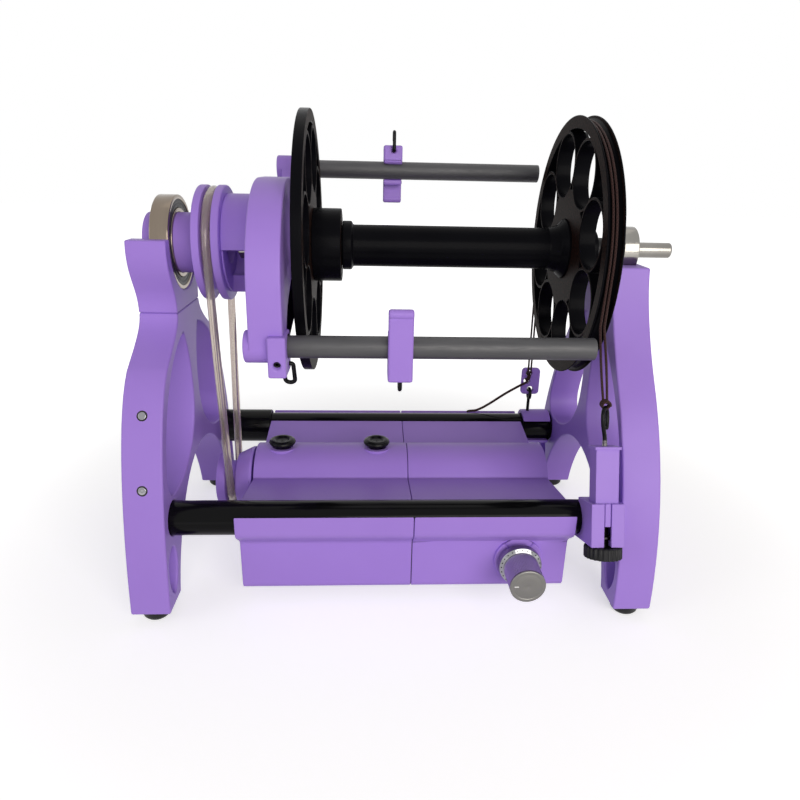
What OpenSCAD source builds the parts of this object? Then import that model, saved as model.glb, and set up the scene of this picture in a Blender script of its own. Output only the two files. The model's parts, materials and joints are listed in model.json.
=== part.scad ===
// Electric spinning wheel: a bobbin-and-flyer spinner driven by a small motor.
// Lengths in millimetres. +X runs along the flyer axis to its free end,
// +Y points to the back and +Z up. The machine stands on Z = 0.

/* [Frame] */
// Clear width between the two uprights
inner_gap = 218; // [205:1:250]
// Thickness of each upright
upright_t = 19; // [17:0.5:25]
// Depth over the legs, front to back
foot_depth = 160; // [156:1:180]
// Width of a leg where it meets its rubber foot
leg_w = 19; // [17:0.5:22]
// Height of the flyer axis above the base line
axis_z = 170.5; // [168:0.5:185]
// Height of the rubber feet
foot_h = 6.2; // [4:0.1:8]
// Radius of a rubber foot where it meets the leg
foot_r = 7.4; // [5:0.1:8]
// Diameter of the two cross rods
rod_d = 17; // [15:0.5:18]
// Distance between the cross rods, centre to centre
rod_spacing = 120; // [116:1:124]
// Height of the cross rods
rod_z = 45; // [43:0.5:48]
// Depth that each rod enters an upright
socket_depth = 12; // [8:0.5:12]
// Half width of the web between the two leaf openings
web_half = 6; // [4:0.5:8]
// Half width of the drive-side upright at its waist
waist_half = 21.3; // [18:0.1:24]
// Half width of the tail-side upright at its top
tail_top_half = 20.5; // [17:0.5:24]
// Diameter of the tool magnets in the drive-side upright
magnet_d = 5; // [4:0.5:6]
// Diameter of the screws that hold the rods
rod_screw_d = 5; // [4:0.5:6]

/* [Bearings] */
// Outside diameter of the flyer bearing
brg_od = 47; // [46:0.5:50]
// Bore of the flyer bearing, which is the outside of the orifice tube
brg_id = 30; // [28:0.5:31]
// Width of the flyer bearing
brg_w = 9; // [8:0.5:10]
// Outside diameter of the tail bearing
tail_od = 24; // [23:0.5:26]
// Width of the tail bearing
tail_w = 8; // [7:0.5:9]
// Diameter of the balls in the flyer bearing
ball_d = 6; // [5:0.1:6.2]
// Diameter of the balls in the tail bearing
tail_ball_d = 4; // [3:0.1:4.4]

/* [Flyer] */
// Diameter of the flyer shaft
shaft_d = 8; // [6:0.5:9]
// Length of shaft that stands out past the tail-side upright
shaft_free = 17.5; // [10:0.5:30]
// Bore of the orifice tube
orifice_d = 20; // [14:0.5:22]
// Radius of the drive whorl
whorl_r = 28.5; // [27:0.5:32]
// Width of each cheek of the drive whorl
cheek_w = 4.2; // [3:0.1:6]
// Radius of the flyer hub
hub_r = 24.5; // [22:0.5:26]
// Length of the flyer hub
hub_len = 19.6; // [16:0.1:22]
// Angle of the yarn windows below the level of the axis at rest
window_tilt = 40; // [20:1:60]
// Half angle of each yarn window in the hub
window_half = 38; // [25:1:50]
// Radius of the round middle of the yoke
yoke_r = 28; // [26:0.1:32]
// Half height of the yoke over its shoulders
yoke_top = 33; // [30:0.1:36]
// Radius of the two round shoulders of the yoke
yoke_shoulder = 46; // [40:0.5:48]
// Thickness of the yoke
yoke_t = 14.7; // [12:0.1:18]
// Distance from the flyer axis to each arm
arm_r = 75.4; // [74:0.1:84]
// Diameter of the flyer arms
arm_d = 10; // [8:0.5:11]
// Wall of the arm tubes
arm_wall = 1.2; // [0.8:0.1:2]
// Angle of the front arm below the level of the axis at rest
arm_tilt = 28.9; // [0:0.1:60]
// Width of the sliding hook clips
clip_w = 11; // [8:0.5:14]
// Thickness of the ring of a hook clip
clip_wall = 3; // [2:0.1:4]
// Diameter of the hook wires
wire_d = 2; // [1.5:0.1:2.4]
// Depth that a hook wire enters its seat
wire_seat = 4; // [3:0.5:6]

/* [Bobbin] */
// Diameter of the bobbin flanges
flange_d = 129; // [110:0.5:132]
// Width of the front flange
flange_w = 4.8; // [4:0.1:7]
// Width of the grooved brake flange
brake_w = 8; // [7:0.5:10]
// Depth of the brake groove
brake_depth = 3.5; // [2:0.1:4]
// Radius of the round floor of the brake groove
brake_groove_r = 3.25; // [2.8:0.05:3.4]
// Width of the solid rim of a flange
rim_w = 6; // [5:0.5:10]
// Number of rings in a flange, each of which touches the next
lattice_count = 8; // [7:1:10]
// Width of the bars of the rings
lattice_bar = 1.4; // [1.2:0.1:3]
// Radius of the bobbin core
core_r = 10.5; // [9.5:0.1:14]
// Radius of the collar behind the front flange
collar_r = 18.3; // [16:0.1:19]

/* [Drive] */
// Diameter of the round drive belt
belt_d = 4.2; // [3:0.1:5]
// Radius of the belt's centre line on the motor pulley
pulley_pitch_r = 13; // [11:0.5:14]
// Height of the motor axis
motor_z = 36; // [35:0.5:37]
// Diameter of the motor can
motor_d = 35; // [30:0.5:35.5]
// Length of the motor can
motor_len = 58; // [40:1:62]
// Diameter of the motor shaft
motor_shaft_d = 5; // [3:0.5:6]

/* [Motor box] */
// Height of the underside of the box
tray_z = 4; // [3.5:0.5:6]
// Wall of the trays
tray_wall = 3; // [2:0.1:3.4]
// Radius of the round hump of the covers
hump_r = 21; // [20.5:0.1:23]
// Wall of the covers
cover_wall = 2.5; // [1.6:0.1:2.8]
// Place of the seam between the two halves of the box
seam_x = 8.5; // [0:0.5:16]
// Diameter of the speed knob
knob_d = 17.5; // [14:0.5:20]
// Length of the speed knob
knob_len = 19.5; // [14:0.5:24]

/* [Brake] */
// Diameter of the brake cord
cord_d = 1.2; // [0.8:0.1:1.4]
// Width of the brake bracket
bracket_w = 16; // [14:0.5:16]
// Angle that the brake bracket leans back on its rod
brake_lean = 18; // [0:1:22]
// Diameter of the thumb wheel
wheel_d = 18; // [16:0.5:20]
// Diameter of the tension screw
tension_screw_d = 5; // [4:0.5:6]
// Height of the tension slider above its bracket
slider_h = 27; // [22:0.5:30]
// Travel of the tension slider each way
slider_travel = 4; // [2:0.5:4]

/* [Fits] */
// Radial clearance of pieces that are pushed together
push_fit = 0.05; // [0.02:0.01:0.1]
// Radial clearance of the bobbin and hook clips that run on steel and carbon
running_fit = 0.06; // [0.03:0.01:0.1]
// Gap between pieces that pass each other
pass_gap = 0.3; // [0.2:0.05:0.6]

/* [Hidden] */
$fn = 96;
curve_steps = 14;
big = 500;

// Colours of the finishes
violet = [0.63, 0.50, 0.85];
soft_black = [0.06, 0.06, 0.07];
steel = [0.72, 0.72, 0.72];
carbon = [0.22, 0.22, 0.23];
clear_belt = [0.80, 0.76, 0.72];
cord_brown = [0.33, 0.22, 0.17];
board_green = [0.10, 0.35, 0.20];
bronze = [0.66, 0.50, 0.28];

// Stations along X, from the drive-side upright to the tail-side one
inner_x = inner_gap / 2;
outer_x = inner_x + upright_t;
mid_upright_x = inner_x + upright_t / 2;
brg_x1 = -inner_x - 0.5;
brg_x0 = brg_x1 - brg_w;
tube_x0 = brg_x0 - 6.3;
whorl_x0 = brg_x1 + 11.5;
groove_w = belt_d + 2 * pass_gap;
whorl_x1 = whorl_x0 + 2 * cheek_w + groove_w;
belt_x = (whorl_x0 + whorl_x1) / 2;
hub_x1 = whorl_x1 + hub_len;
yoke_x1 = hub_x1 + yoke_t;
yoke_block_x = yoke_x1 + 1.5;
bobbin_x0 = yoke_x1 + 0.5;
flange_x0 = bobbin_x0 + 3;
flange_x1 = flange_x0 + flange_w;
collar_x1 = flange_x1 + 14.3;
bead_x1 = collar_x1 + 6;
brake_x1 = inner_x - 13;
brake_x0 = brake_x1 - brake_w;
brake_x = (brake_x0 + brake_x1) / 2;
bobbin_x1 = brake_x1 + 8;
arm_x0 = hub_x1 + 4;
arm_x1 = brake_x0 - 0.5;
tail_x0 = inner_x + 7.6;
tail_x1 = tail_x0 + tail_w;
shaft_x0 = hub_x1 - 16;
shaft_x1 = outer_x + shaft_free;
clip_x = 0;

// Heights and half widths of the uprights; heights count from a base line that lies 3 under the legs
leg_z = 3;
foot_half = foot_depth / 2;
leg_in = foot_half - leg_w;
leg_mid = foot_half - leg_w / 2;
rod_y = rod_spacing / 2;
rod_r = rod_d / 2;
waist_z = axis_z - 32.2;
horn_z = axis_z + 4;
tail_top_z = axis_z - 6.5;
arch_z = rod_z + 14.5;
shoulder = [47, waist_z - 22.3];
tail_shoulder = [44.6, axis_z - 57.8];
tenon = [9, 22, 10];
cradle_wall = 6.7;
magnet_len = 4;
screw_head_r = 0.85 * rod_screw_d;
screw_head_h = rod_screw_d;

// Sections of the motor box
tray_half = rod_y + 2;
tray_corner = 4;
lip_wall = 3;
lip_rise = 6;
lip_r = rod_r + 3 * push_fit + lip_wall;
lip_fillet = 4;
lip_fillet_at = [tray_half + lip_fillet,
    rod_z - sqrt(pow(lip_r + lip_fillet, 2) - pow(tray_half + lip_fillet - rod_y, 2))];
box_x0 = -inner_x + 31.5;
box_x1 = inner_x - 21;
seam_gap = 0.15;
tray_wall_top = motor_z + 4;
wing_rise = 9;
wing_in = [sqrt(hump_r * hump_r - wing_rise * wing_rise), motor_z + wing_rise];
wing_out = [rod_y - 5.5, rod_z + 6];
hump_z = motor_z + hump_r;
grommet_x = [box_x0 + 14.5, seam_x - 17.5];
grommet_r = 7.6;
motor_x0 = box_x0 + tray_wall + 2.5;
motor_r = motor_d / 2;
shaft_pass_r = motor_shaft_d / 2 + 4;
pulley_x0 = belt_x - 8;
pulley_x1 = box_x0 - 1.5;
pulley_lip = 15;
pulley_cone = 18.8;
knob_x = box_x1 - 25;
knob_z = 21.5;
knob_y = -tray_half - 4.5;
knob_front = knob_y - knob_len;
pot_shaft_r = 3;
pot_bush_r = 3.6;
skirt_r = knob_d / 2 + 2;
board_z = tray_z + tray_wall + 5;
board_size = [60, 74, 1.6];
board_x = (seam_x + box_x1) / 2;
inlet_x = box_x1 - 22;
toggle_x = seam_x + 22;
rear_panel_z = 20;

// Places of the brake: the bracket's own Y and Z are measured from the front rod along its lean
bracket_x = inner_x - pass_gap - 0.1 - max(wheel_d, bracket_w) / 2;
bracket_half = rod_r + 1.9;
bracket_front = -rod_r - 13.8;
bracket_wall = 1.6;
slider_w = bracket_w - 2 * bracket_wall - 2 * pass_gap - 1;
slider_t = 9;
slider_y = bracket_front + bracket_wall + pass_gap + slider_t / 2;
slider_top = bracket_half + slider_h;
slider_low = bracket_half - 11;
cap_t = 1.5;
slot_w = 3.4;
wheel_h = 6;
wheel_top = -bracket_half - pass_gap;
wheel_low = wheel_top - wheel_h;
eye_r = 3.4;
eye_z = slider_top + 15;
knot_r = wire_d / 2 + pass_gap + cord_d / 2;
cord_pair = 0.9;
knee_drop = 24;
groove_mid_r = flange_d / 2 - brake_depth + brake_groove_r;
cord_r = groove_mid_r - sqrt(pow(brake_groove_r - pass_gap - cord_d / 2, 2) - cord_pair * cord_pair);
knot = lean_back([slider_y, eye_z + eye_r]);
knot_top = knot + [0, sqrt(knot_r * knot_r - cord_pair * cord_pair)];
clip_x0 = box_x1 + 1.5;
clip_top = rod_z + rod_r + 3;
anchor_x = brake_x + 1.5;
anchor_eye_z = clip_top + 12;
toggle_size = [12, 3, 18];
toggle_z = anchor_eye_z + eye_r - 3.5;
toggle_hole_r = 2;
toggle_holes = [[0, 3.5], [-2.6, 9.4], [-1.5, 14.6]];
cord_y = rod_y - toggle_size.y / 2 - cord_d / 2 - 0.2;
front_grip = knot_top - [0, axis_z];
rear_grip = [cord_y, toggle_z + toggle_holes[2].y - axis_z];
rear_touch = touch_angle(rear_grip, cord_r, 1);
front_touch = touch_angle(front_grip, cord_r, -1) + 360;
knee = round_axis(cord_r, front_touch) + knee_drop * unit(front_grip - round_axis(cord_r, front_touch));

// Centre of the whole machine over the table
wheel_front = lean_back([slider_y - wheel_d / 2, wheel_low]).x;
mid_x = (shaft_x1 - outer_x) / 2;
mid_y = (foot_half + min(knob_front, wheel_front)) / 2;

// Route of the free end of the brake cord, from the toggle over the back lip of the box
tail_route = [[91, 60, 78], [91, 57.5, 78], [89.5, 55.4, 77.6], [87, 55, 76.4], [84, 56, 74.2],
    [81, 57.6, 71.6], [77.5, 59.6, 68.4], [74, 61.5, 65], [70.5, 63.2, 61.6], [67, 64.8, 58.4],
    [63.5, 66.2, 55.6], [60, 67.6, 53.4], [57, 69.4, 52.3], [55, 71.2, 51.2], [53.8, 72.6, 48.6],
    [53.2, 73, 45], [52.8, 73, 41.5], [52.4, 73, 38], [52, 73, 34.5]];

// A point of a cubic curve through four control points
function curve(p, t) = pow(1 - t, 3) * p[0] + 3 * pow(1 - t, 2) * t * p[1]
    + 3 * (1 - t) * t * t * p[2] + t * t * t * p[3];
// The points of that curve, without its last one
function curve_points(p) = [for (i = [0 : curve_steps - 1]) curve(p, i / curve_steps)];
// Direction of the curve at a point
function curve_slope(p, t) = let (d = curve(p, t + 0.01) - curve(p, t - 0.01)) atan2(d.y, d.x);
// Points mirrored to the other side and read backwards
function other_side(pts) = [for (i = [len(pts) - 1 : -1 : 0]) [-pts[i].x, pts[i].y]];
// Angle where a line from a point touches a circle at the origin, on one side
function touch_angle(p, r, side) = atan2(p.y, p.x) + side * acos(r / norm(p));
// A place at a radius and an angle about the flyer axis
function round_axis(r, a) = [r * cos(a), r * sin(a)];
// A place on the leaning bracket, as Y and Z of the machine
function lean_back(p) = [-rod_y + p.x * cos(brake_lean) + p.y * sin(brake_lean),
    rod_z - p.x * sin(brake_lean) + p.y * cos(brake_lean)];
// Unit vector, and two vectors square to it
function unit(v) = v / norm(v);
function square_to(v) = unit(cross(v, abs(v.z) < 0.9 ? [0, 0, 1] : [1, 0, 0]));

// A cylinder along X
module along_x(x0, x1, r) translate([x0, 0, 0]) rotate([0, 90, 0]) cylinder(h = x1 - x0, r = r);
// A cylinder along Y
module along_y(y0, y1, r) translate([0, y0, 0]) rotate([-90, 0, 0]) cylinder(h = y1 - y0, r = r);
// A plate square to X, from an outline in Y and Z
module plate_x(x0, x1) translate([x0, 0, 0]) rotate([90, 0, 90]) linear_extrude(x1 - x0) children();
// A turned piece about the X axis, from an outline in radius and X
module turned_x() rotate([0, 90, 0]) rotate_extrude() children();
// A ring about the X axis
module ring_x(x0, x1, r_out, r_in) turned_x() translate([r_in, x0]) square([r_out - r_in, x1 - x0]);
// The flyer axis, the motor axis and the two rods
module on_axis() translate([0, 0, axis_z]) children();
module on_motor() translate([0, 0, motor_z]) children();
module at_rod(side) translate([0, side * rod_y, rod_z]) children();
module on_bracket() at_rod(-1) rotate([-brake_lean, 0, 0]) children();
// A round bar between two points
module bar(a, b, r) {
    d = b - a;
    translate(a) rotate([0, acos(d.z / norm(d)), atan2(d.y, d.x)]) cylinder(h = norm(d), r = r, $fn = 32);
}
// A straight run that ends a little inside the round piece beyond its second point, and a hair thinner
module splice_bar(a, b, r) bar(a, b + 0.3 * unit(b - a), r - 0.01);
// A wire hook in the X-Z plane: it leaves the origin along -Z and turns back by a half circle towards side
module wire_hook(length, bend_r, side, back) {
    translate([0, 0, -length]) cylinder(h = length, r = wire_d / 2);
    translate([side * bend_r, 0, -length]) rotate([90, 0, 0])
        rotate_extrude(angle = -180) translate([bend_r, 0]) circle(r = wire_d / 2, $fn = 32);
    translate([2 * side * bend_r, 0, -length]) cylinder(h = back, r = wire_d / 2);
}
// A cord swept along its points as one tube of eight sides
module swept_cord(pts, r) {
    sides = 8;
    last = len(pts) - 1;
    ring = [for (i = [0 : last])
        let (d = unit(pts[min(i + 1, last)] - pts[max(i - 1, 0)]), u = square_to(d), v = cross(d, u))
        for (k = [0 : sides - 1]) pts[i] + r * (cos(360 * k / sides) * u + sin(360 * k / sides) * v)];
    walls = [for (i = [0 : last - 1], k = [0 : sides - 1])
        let (a = i * sides + k, b = i * sides + (k + 1) % sides)
        each [[a, a + sides, b], [b, a + sides, b + sides]]];
    caps = [[for (k = [0 : sides - 1]) k], [for (k = [sides - 1 : -1 : 0]) last * sides + k]];
    polyhedron(ring, concat(walls, caps));
}

// Uprights: curved legs with two leaf openings, a foot arch and an opening in each leg
leg_drive = [[foot_half, leg_z], [foot_half - 3, rod_z + 4], shoulder + [19, -17], shoulder];
neck_drive = [shoulder, shoulder + [-10, 7], [waist_half, waist_z - 8], [waist_half, waist_z]];
leg_tail = [[foot_half, leg_z], [foot_half, rod_z - 1], tail_shoulder + [23.4, -31.7], tail_shoulder];
neck_tail = [tail_shoulder, tail_shoulder + [-8, 10.8], [tail_top_half + 1.5, tail_top_z - 16],
    [tail_top_half, tail_top_z]];
module upright_outline(leg, neck) {
    side = concat(curve_points(leg), curve_points(neck), [neck[3]]);
    polygon(concat(side, other_side(side)));
}
module leaf(tip, bulge) {
    low = [rod_y + 2.5, rod_z + 24];
    toe = [rod_y - 10, rod_z + 10];
    waist = [web_half, rod_z + 46];
    polygon(concat(
        curve_points([tip, bulge, [rod_y - 3, rod_z + 49], low]),
        curve_points([low, low + [1.5, -9], toe + [8, -1], toe]),
        curve_points([toe, toe + [-16, -0.5], waist + [1, -26], waist]),
        curve_points([waist, waist + [-1, 12], [tip.x - 6, tip.y - 10], tip])));
}
module foot_arch() {
    bend = [[leg_in, leg_z], [leg_in - 4, leg_z + 20], [rod_y - 24, arch_z], [0, arch_z]];
    side = concat([[leg_in, 0]], curve_points(bend));
    polygon(concat(side, [[0, arch_z]], other_side(side)));
}
module leg_opening() {
    top = [leg_mid - 4.5, rod_z - rod_r - 4];
    low = [leg_mid - 0.5, leg_z + 5.5];
    polygon(concat(
        curve_points([top, [foot_half - 3.5, top.y], [foot_half - 3, leg_z + 11], low]),
        curve_points([low, [leg_in + 1, low.y + 0.5], [leg_in - 3, top.y - 2], top])));
}
module upright_section(leg, neck, tip, bulge) difference() {
    upright_outline(leg, neck);
    foot_arch();
    for (m = [0, 1]) mirror([m, 0]) {
        leaf(tip, bulge);
        leg_opening();
    }
}
module rod_sockets(side) for (y = [-1, 1]) at_rod(y) scale([side, 1, 1]) {
    along_x(inner_x, inner_x + socket_depth, rod_r + push_fit);
    along_x(inner_x, outer_x + 1, rod_screw_d / 2 + push_fit);
    along_x(outer_x - screw_head_h, outer_x + 1, screw_head_r + pass_gap);
}
module magnet_places() for (t = [0.46, 0.76]) {
    p = curve(leg_drive, t);
    translate([-mid_upright_x, -p.x, p.y]) rotate([curve_slope(leg_drive, t) - 180, 0, 0]) children();
}

module left_upright() color(violet) difference() {
    leaf_tip = [14, waist_z - 11.3];
    plate_x(-outer_x, -inner_x) upright_section(leg_drive, neck_drive, leaf_tip, shoulder + [-5, 5]);
    mirror([1, 0, 0]) rod_sockets(1);
    translate([-mid_upright_x, 0, waist_z - tenon.z / 2])
        cube(tenon + 2 * push_fit * [1, 1, 1], center = true);
    magnet_places() along_y(-1, magnet_len + 1, magnet_d / 2 + push_fit);
}
module right_upright() color(violet) difference() {
    leaf_tip = [12, tail_top_z - 28];
    plate_x(inner_x, outer_x) upright_section(leg_tail, neck_tail, leaf_tip, tail_shoulder + [-12.6, 4.3]);
    rod_sockets(1);
    on_axis() along_x(tail_x0 - 2 * push_fit, tail_x1 + 2 * push_fit, tail_od / 2 + push_fit);
}
module bearing_cradle() color(violet) {
    cheek = brg_od / 2 + cradle_wall;
    flank = [[waist_half, waist_z], [waist_half - 0.8, waist_z + 12.7], [cheek, waist_z + 16.7],
        [cheek, axis_z - 1.5]];
    side = concat(curve_points(flank), [flank[3], [cheek - 0.7, horn_z]]);
    difference() {
        plate_x(-outer_x, -inner_x) polygon(concat(side, other_side(side)));
        on_axis() along_x(brg_x0, -inner_x + 1, brg_od / 2 + push_fit);
        on_axis() along_x(-outer_x - 1, brg_x0 + 1, brg_od / 2 - 2.5);
    }
    translate([-mid_upright_x, 0, waist_z - tenon.z / 2]) cube(tenon, center = true);
}
module rubber_feet() color(soft_black) for (x = [-1, 1], y = [-1, 1])
    translate([x * mid_upright_x, y * leg_mid, leg_z - foot_h]) rotate_extrude() polygon([[0, 0],
        [foot_r - 2, 0], [foot_r - 0.7, 1.6], [foot_r, foot_h], [0, foot_h]]);
module tool_magnets() color(steel) magnet_places() along_y(0.4, magnet_len + 0.4, magnet_d / 2);
module cross_rod(side) color(soft_black) at_rod(side) difference() {
    along_x(-inner_x - socket_depth, inner_x + socket_depth, rod_r);
    for (m = [0, 1]) mirror([m, 0, 0])
        along_x(inner_x + socket_depth - 16, inner_x + socket_depth + 1, rod_screw_d / 2 + push_fit);
}
module front_rod() cross_rod(-1);
module rear_rod() cross_rod(1);
module rod_screws() color(soft_black) for (m = [0, 1], y = [-1, 1]) mirror([m, 0, 0]) at_rod(y) difference() {
    union() {
        along_x(inner_x + socket_depth - 15, outer_x, rod_screw_d / 2);
        along_x(outer_x - screw_head_h, outer_x, screw_head_r);
    }
    along_x(outer_x - screw_head_h / 2, outer_x + 1, rod_screw_d / 2.2, $fn = 6);
}
module rear_sleeve() color(soft_black) at_rod(1)
    ring_x(-inner_x, box_x0 - pass_gap, rod_r + 2.1, rod_r + push_fit);

// Motor box: two trays that clip under the rods and two covers that lie between them
module rod_holes_2d(gap) for (y = [-1, 1]) translate([y * rod_y, rod_z]) circle(r = rod_r + gap);
module tray_section() {
    corner_y = tray_half - tray_corner;
    corner_z = tray_z + tray_corner;
    difference() {
        union() {
            translate([-tray_half, corner_z]) square([2 * tray_half, rod_z - rod_r - corner_z]);
            translate([-corner_y, tray_z]) square([2 * corner_y, tray_corner]);
            for (s = [-1, 1]) {
                translate([s * corner_y, corner_z]) circle(r = tray_corner);
                translate([s * rod_y, rod_z]) circle(r = lip_r);
                scale([s, 1]) difference() {
                    polygon([lip_fillet_at, [tray_half - 1, lip_fillet_at.y], [tray_half - 1, rod_z],
                        [rod_y, rod_z]]);
                    translate(lip_fillet_at) circle(r = lip_fillet);
                }
            }
        }
        translate([-tray_half + tray_wall, tray_z + tray_wall]) square([2 * (tray_half - tray_wall), big]);
        translate([-big / 2, rod_z + lip_rise]) square([big, big]);
        rod_holes_2d(3 * push_fit);
    }
}
module tray_end(x0, x1) plate_x(x0, x1) difference() {
    translate([-tray_half + tray_wall, tray_z + tray_wall])
        square([2 * (tray_half - tray_wall), tray_wall_top - tray_z - tray_wall]);
    rod_holes_2d(pass_gap);
}
module cover_section(hollow) difference() {
    union() {
        translate([0, motor_z]) circle(r = hump_r);
        polygon([wing_in, wing_out, wing_out - [0, cover_wall], wing_in - [0, cover_wall],
            [-wing_in.x, wing_in.y - cover_wall], [-wing_out.x, wing_out.y - cover_wall],
            [-wing_out.x, wing_out.y], [-wing_in.x, wing_in.y]]);
        if (!hollow) polygon([wing_in, wing_out, [wing_out.x, tray_wall_top], [-wing_out.x, tray_wall_top],
            [-wing_out.x, wing_out.y], [-wing_in.x, wing_in.y]]);
    }
    if (hollow) translate([0, motor_z]) circle(r = hump_r - cover_wall);
    translate([-big / 2, 0]) square([big, hollow ? wing_in.y - cover_wall : tray_wall_top + pass_gap]);
    rod_holes_2d(3 * push_fit);
}
module motor_tray() color(violet) difference() {
    union() {
        plate_x(box_x0, seam_x - seam_gap) tray_section();
        tray_end(box_x0, box_x0 + tray_wall);
        for (x = [motor_x0 + 10, motor_x0 + motor_len - 14]) plate_x(x, x + 4)
            translate([-motor_r - 4, tray_z + 1]) square([2 * motor_r + 8, motor_z - tray_z - 1]);
    }
    on_motor() along_x(motor_x0 - 1, motor_x0 + motor_len + 1, motor_r + push_fit);
    on_motor() along_x(box_x0 - 1, motor_x0, shaft_pass_r);
}
module motor_cover() color(violet) difference() {
    union() {
        plate_x(box_x0, seam_x - seam_gap) cover_section(true);
        plate_x(box_x0, box_x0 + tray_wall) cover_section(false);
        for (x = grommet_x) translate([x, 0, hump_z - 4]) cylinder(h = 4 - 0.2, r = grommet_r + 0.6);
    }
    on_motor() along_x(motor_x0 - 0.5, seam_x, motor_r + 0.7);
    on_motor() along_x(box_x0 - 1, motor_x0, shaft_pass_r);
    for (x = grommet_x) translate([x, 0, hump_z - 8]) {
        cylinder(h = 12, r = grommet_r - 2);
        translate([0, 0, 8 - 0.2]) cylinder(h = 4, r = grommet_r + 1);
    }
}
module vent_grommets() color(soft_black) for (x = grommet_x) translate([x, 0, hump_z - 0.2])
    rotate_extrude() polygon([[3.6, -1.8], [grommet_r - 2 - push_fit, -1.8], [grommet_r - 2 - push_fit, 0],
        [grommet_r, 0], [grommet_r - 0.7, 1.3], [grommet_r - 2.4, 2], [4.2, 2], [3.6, 1.2]]);
module control_tray() color(violet) difference() {
    union() {
        plate_x(seam_x + seam_gap, box_x1) tray_section();
        tray_end(box_x1 - tray_wall, box_x1);
        translate([knob_x, 0, knob_z]) along_y(-tray_half - 1.5, -tray_half + 1, skirt_r + 1.5);
        for (x = [-1, 1], y = [-1, 1])
            translate([board_x + x * (board_size.x / 2 - 5), y * (board_size.y / 2 - 5), tray_z + 1])
                cylinder(h = board_z - tray_z - 1, r = 3);
    }
    translate([knob_x, 0, knob_z]) along_y(-tray_half - 2, -tray_half + tray_wall + 1, pot_bush_r + push_fit);
    translate([inlet_x, 0, rear_panel_z]) along_y(tray_half - tray_wall - 1, tray_half + 1, 4 + push_fit);
    translate([toggle_x, 0, rear_panel_z]) along_y(tray_half - tray_wall - 1, tray_half + 1, 3 + push_fit);
}
module control_cover() color(violet) {
    plate_x(seam_x + seam_gap, box_x1) cover_section(true);
    plate_x(box_x1 - tray_wall, box_x1) cover_section(false);
}

// Motor, electronics and controls
module motor_can() color(steel) on_motor() difference() {
    union() {
        along_x(motor_x0, motor_x0 + motor_len, motor_r);
        along_x(box_x0 + 1, motor_x0 + 1, shaft_pass_r - 1);
    }
    along_x(box_x0, motor_x0 + motor_len - 4, motor_shaft_d / 2 + running_fit);
}
module motor_shaft() color(steel) on_motor()
    along_x(pulley_x0 - 2, motor_x0 + motor_len - 6, motor_shaft_d / 2);
module motor_pulley() color(violet) on_motor() turned_x() {
    floor_r = pulley_pitch_r - belt_d / 2 - pass_gap;
    bore_r = motor_shaft_d / 2 + push_fit;
    polygon([[bore_r, pulley_x0], [pulley_lip - 1, pulley_x0], [pulley_lip, pulley_x0 + 1],
        [pulley_lip, belt_x - groove_w / 2 - 0.6], [floor_r, belt_x - groove_w / 2],
        [floor_r, belt_x + groove_w / 2], [pulley_lip, belt_x + groove_w / 2 + 0.6],
        [pulley_cone, pulley_x1 - 1.5], [pulley_cone, pulley_x1], [bore_r, pulley_x1]]);
}
module circuit_board() color(board_green) translate([board_x, 0, board_z]) {
    translate([-board_size.x / 2, -board_size.y / 2, 0]) cube(board_size);
    for (y = [10, 22]) translate([-16, y, board_size.z]) cylinder(h = 14, r = 5);
    translate([2, 4, board_size.z]) cube([18, 24, 12]);
    translate([-20, -20, board_size.z]) cube([24, 14, 6]);
}
module speed_pot() color(steel) translate([knob_x, 0, knob_z]) difference() {
    union() {
        along_y(-tray_half + tray_wall, -tray_half + tray_wall + 9, 8.5);
        along_y(knob_y + 1, -tray_half + tray_wall + 1, pot_bush_r);
    }
    along_y(knob_y, -tray_half + tray_wall + 5, pot_shaft_r + running_fit);
}
module speed_knob() color(steel) translate([knob_x, 0, knob_z]) {
    difference() {
        rotate([90, 0, 0]) rotate_extrude() polygon([
            [0, -knob_front], [knob_d / 2 - 1, -knob_front], [knob_d / 2, -knob_front - 1],
            [knob_d / 2, -knob_y + 4], [skirt_r, -knob_y + 3], [skirt_r, -knob_y - 0.5], [0, -knob_y - 0.5]]);
        along_y(knob_y - 4, knob_y + 2, pot_bush_r + pass_gap);
    }
    along_y(knob_y - 5, -tray_half + tray_wall + 4, pot_shaft_r);
}
module power_inlet() color(soft_black) translate([inlet_x, 0, rear_panel_z]) difference() {
    union() {
        along_y(tray_half - tray_wall - 10, tray_half + 0.5, 4);
        along_y(tray_half - tray_wall - 10, tray_half - tray_wall, 5.5);
        along_y(tray_half, tray_half + 1.2, 5.2);
    }
    along_y(tray_half - 8, tray_half + 2, 2.75);
}
module switch_body() color(steel) translate([toggle_x, 0, rear_panel_z]) {
    difference() {
        union() {
            translate([-6.5, tray_half - tray_wall - 12, -4]) cube([13, 12, 8]);
            along_y(tray_half - tray_wall - 1, tray_half + 3, 3);
        }
        along_y(tray_half - 4, tray_half + 4, 2.2);
    }
}
module direction_toggle() color(steel) translate([toggle_x, tray_half + 1, rear_panel_z]) {
    sphere(r = 1.6);
    along_y(0, 10, 1.1);
    translate([0, 10, 0]) sphere(r = 1.6);
}
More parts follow.
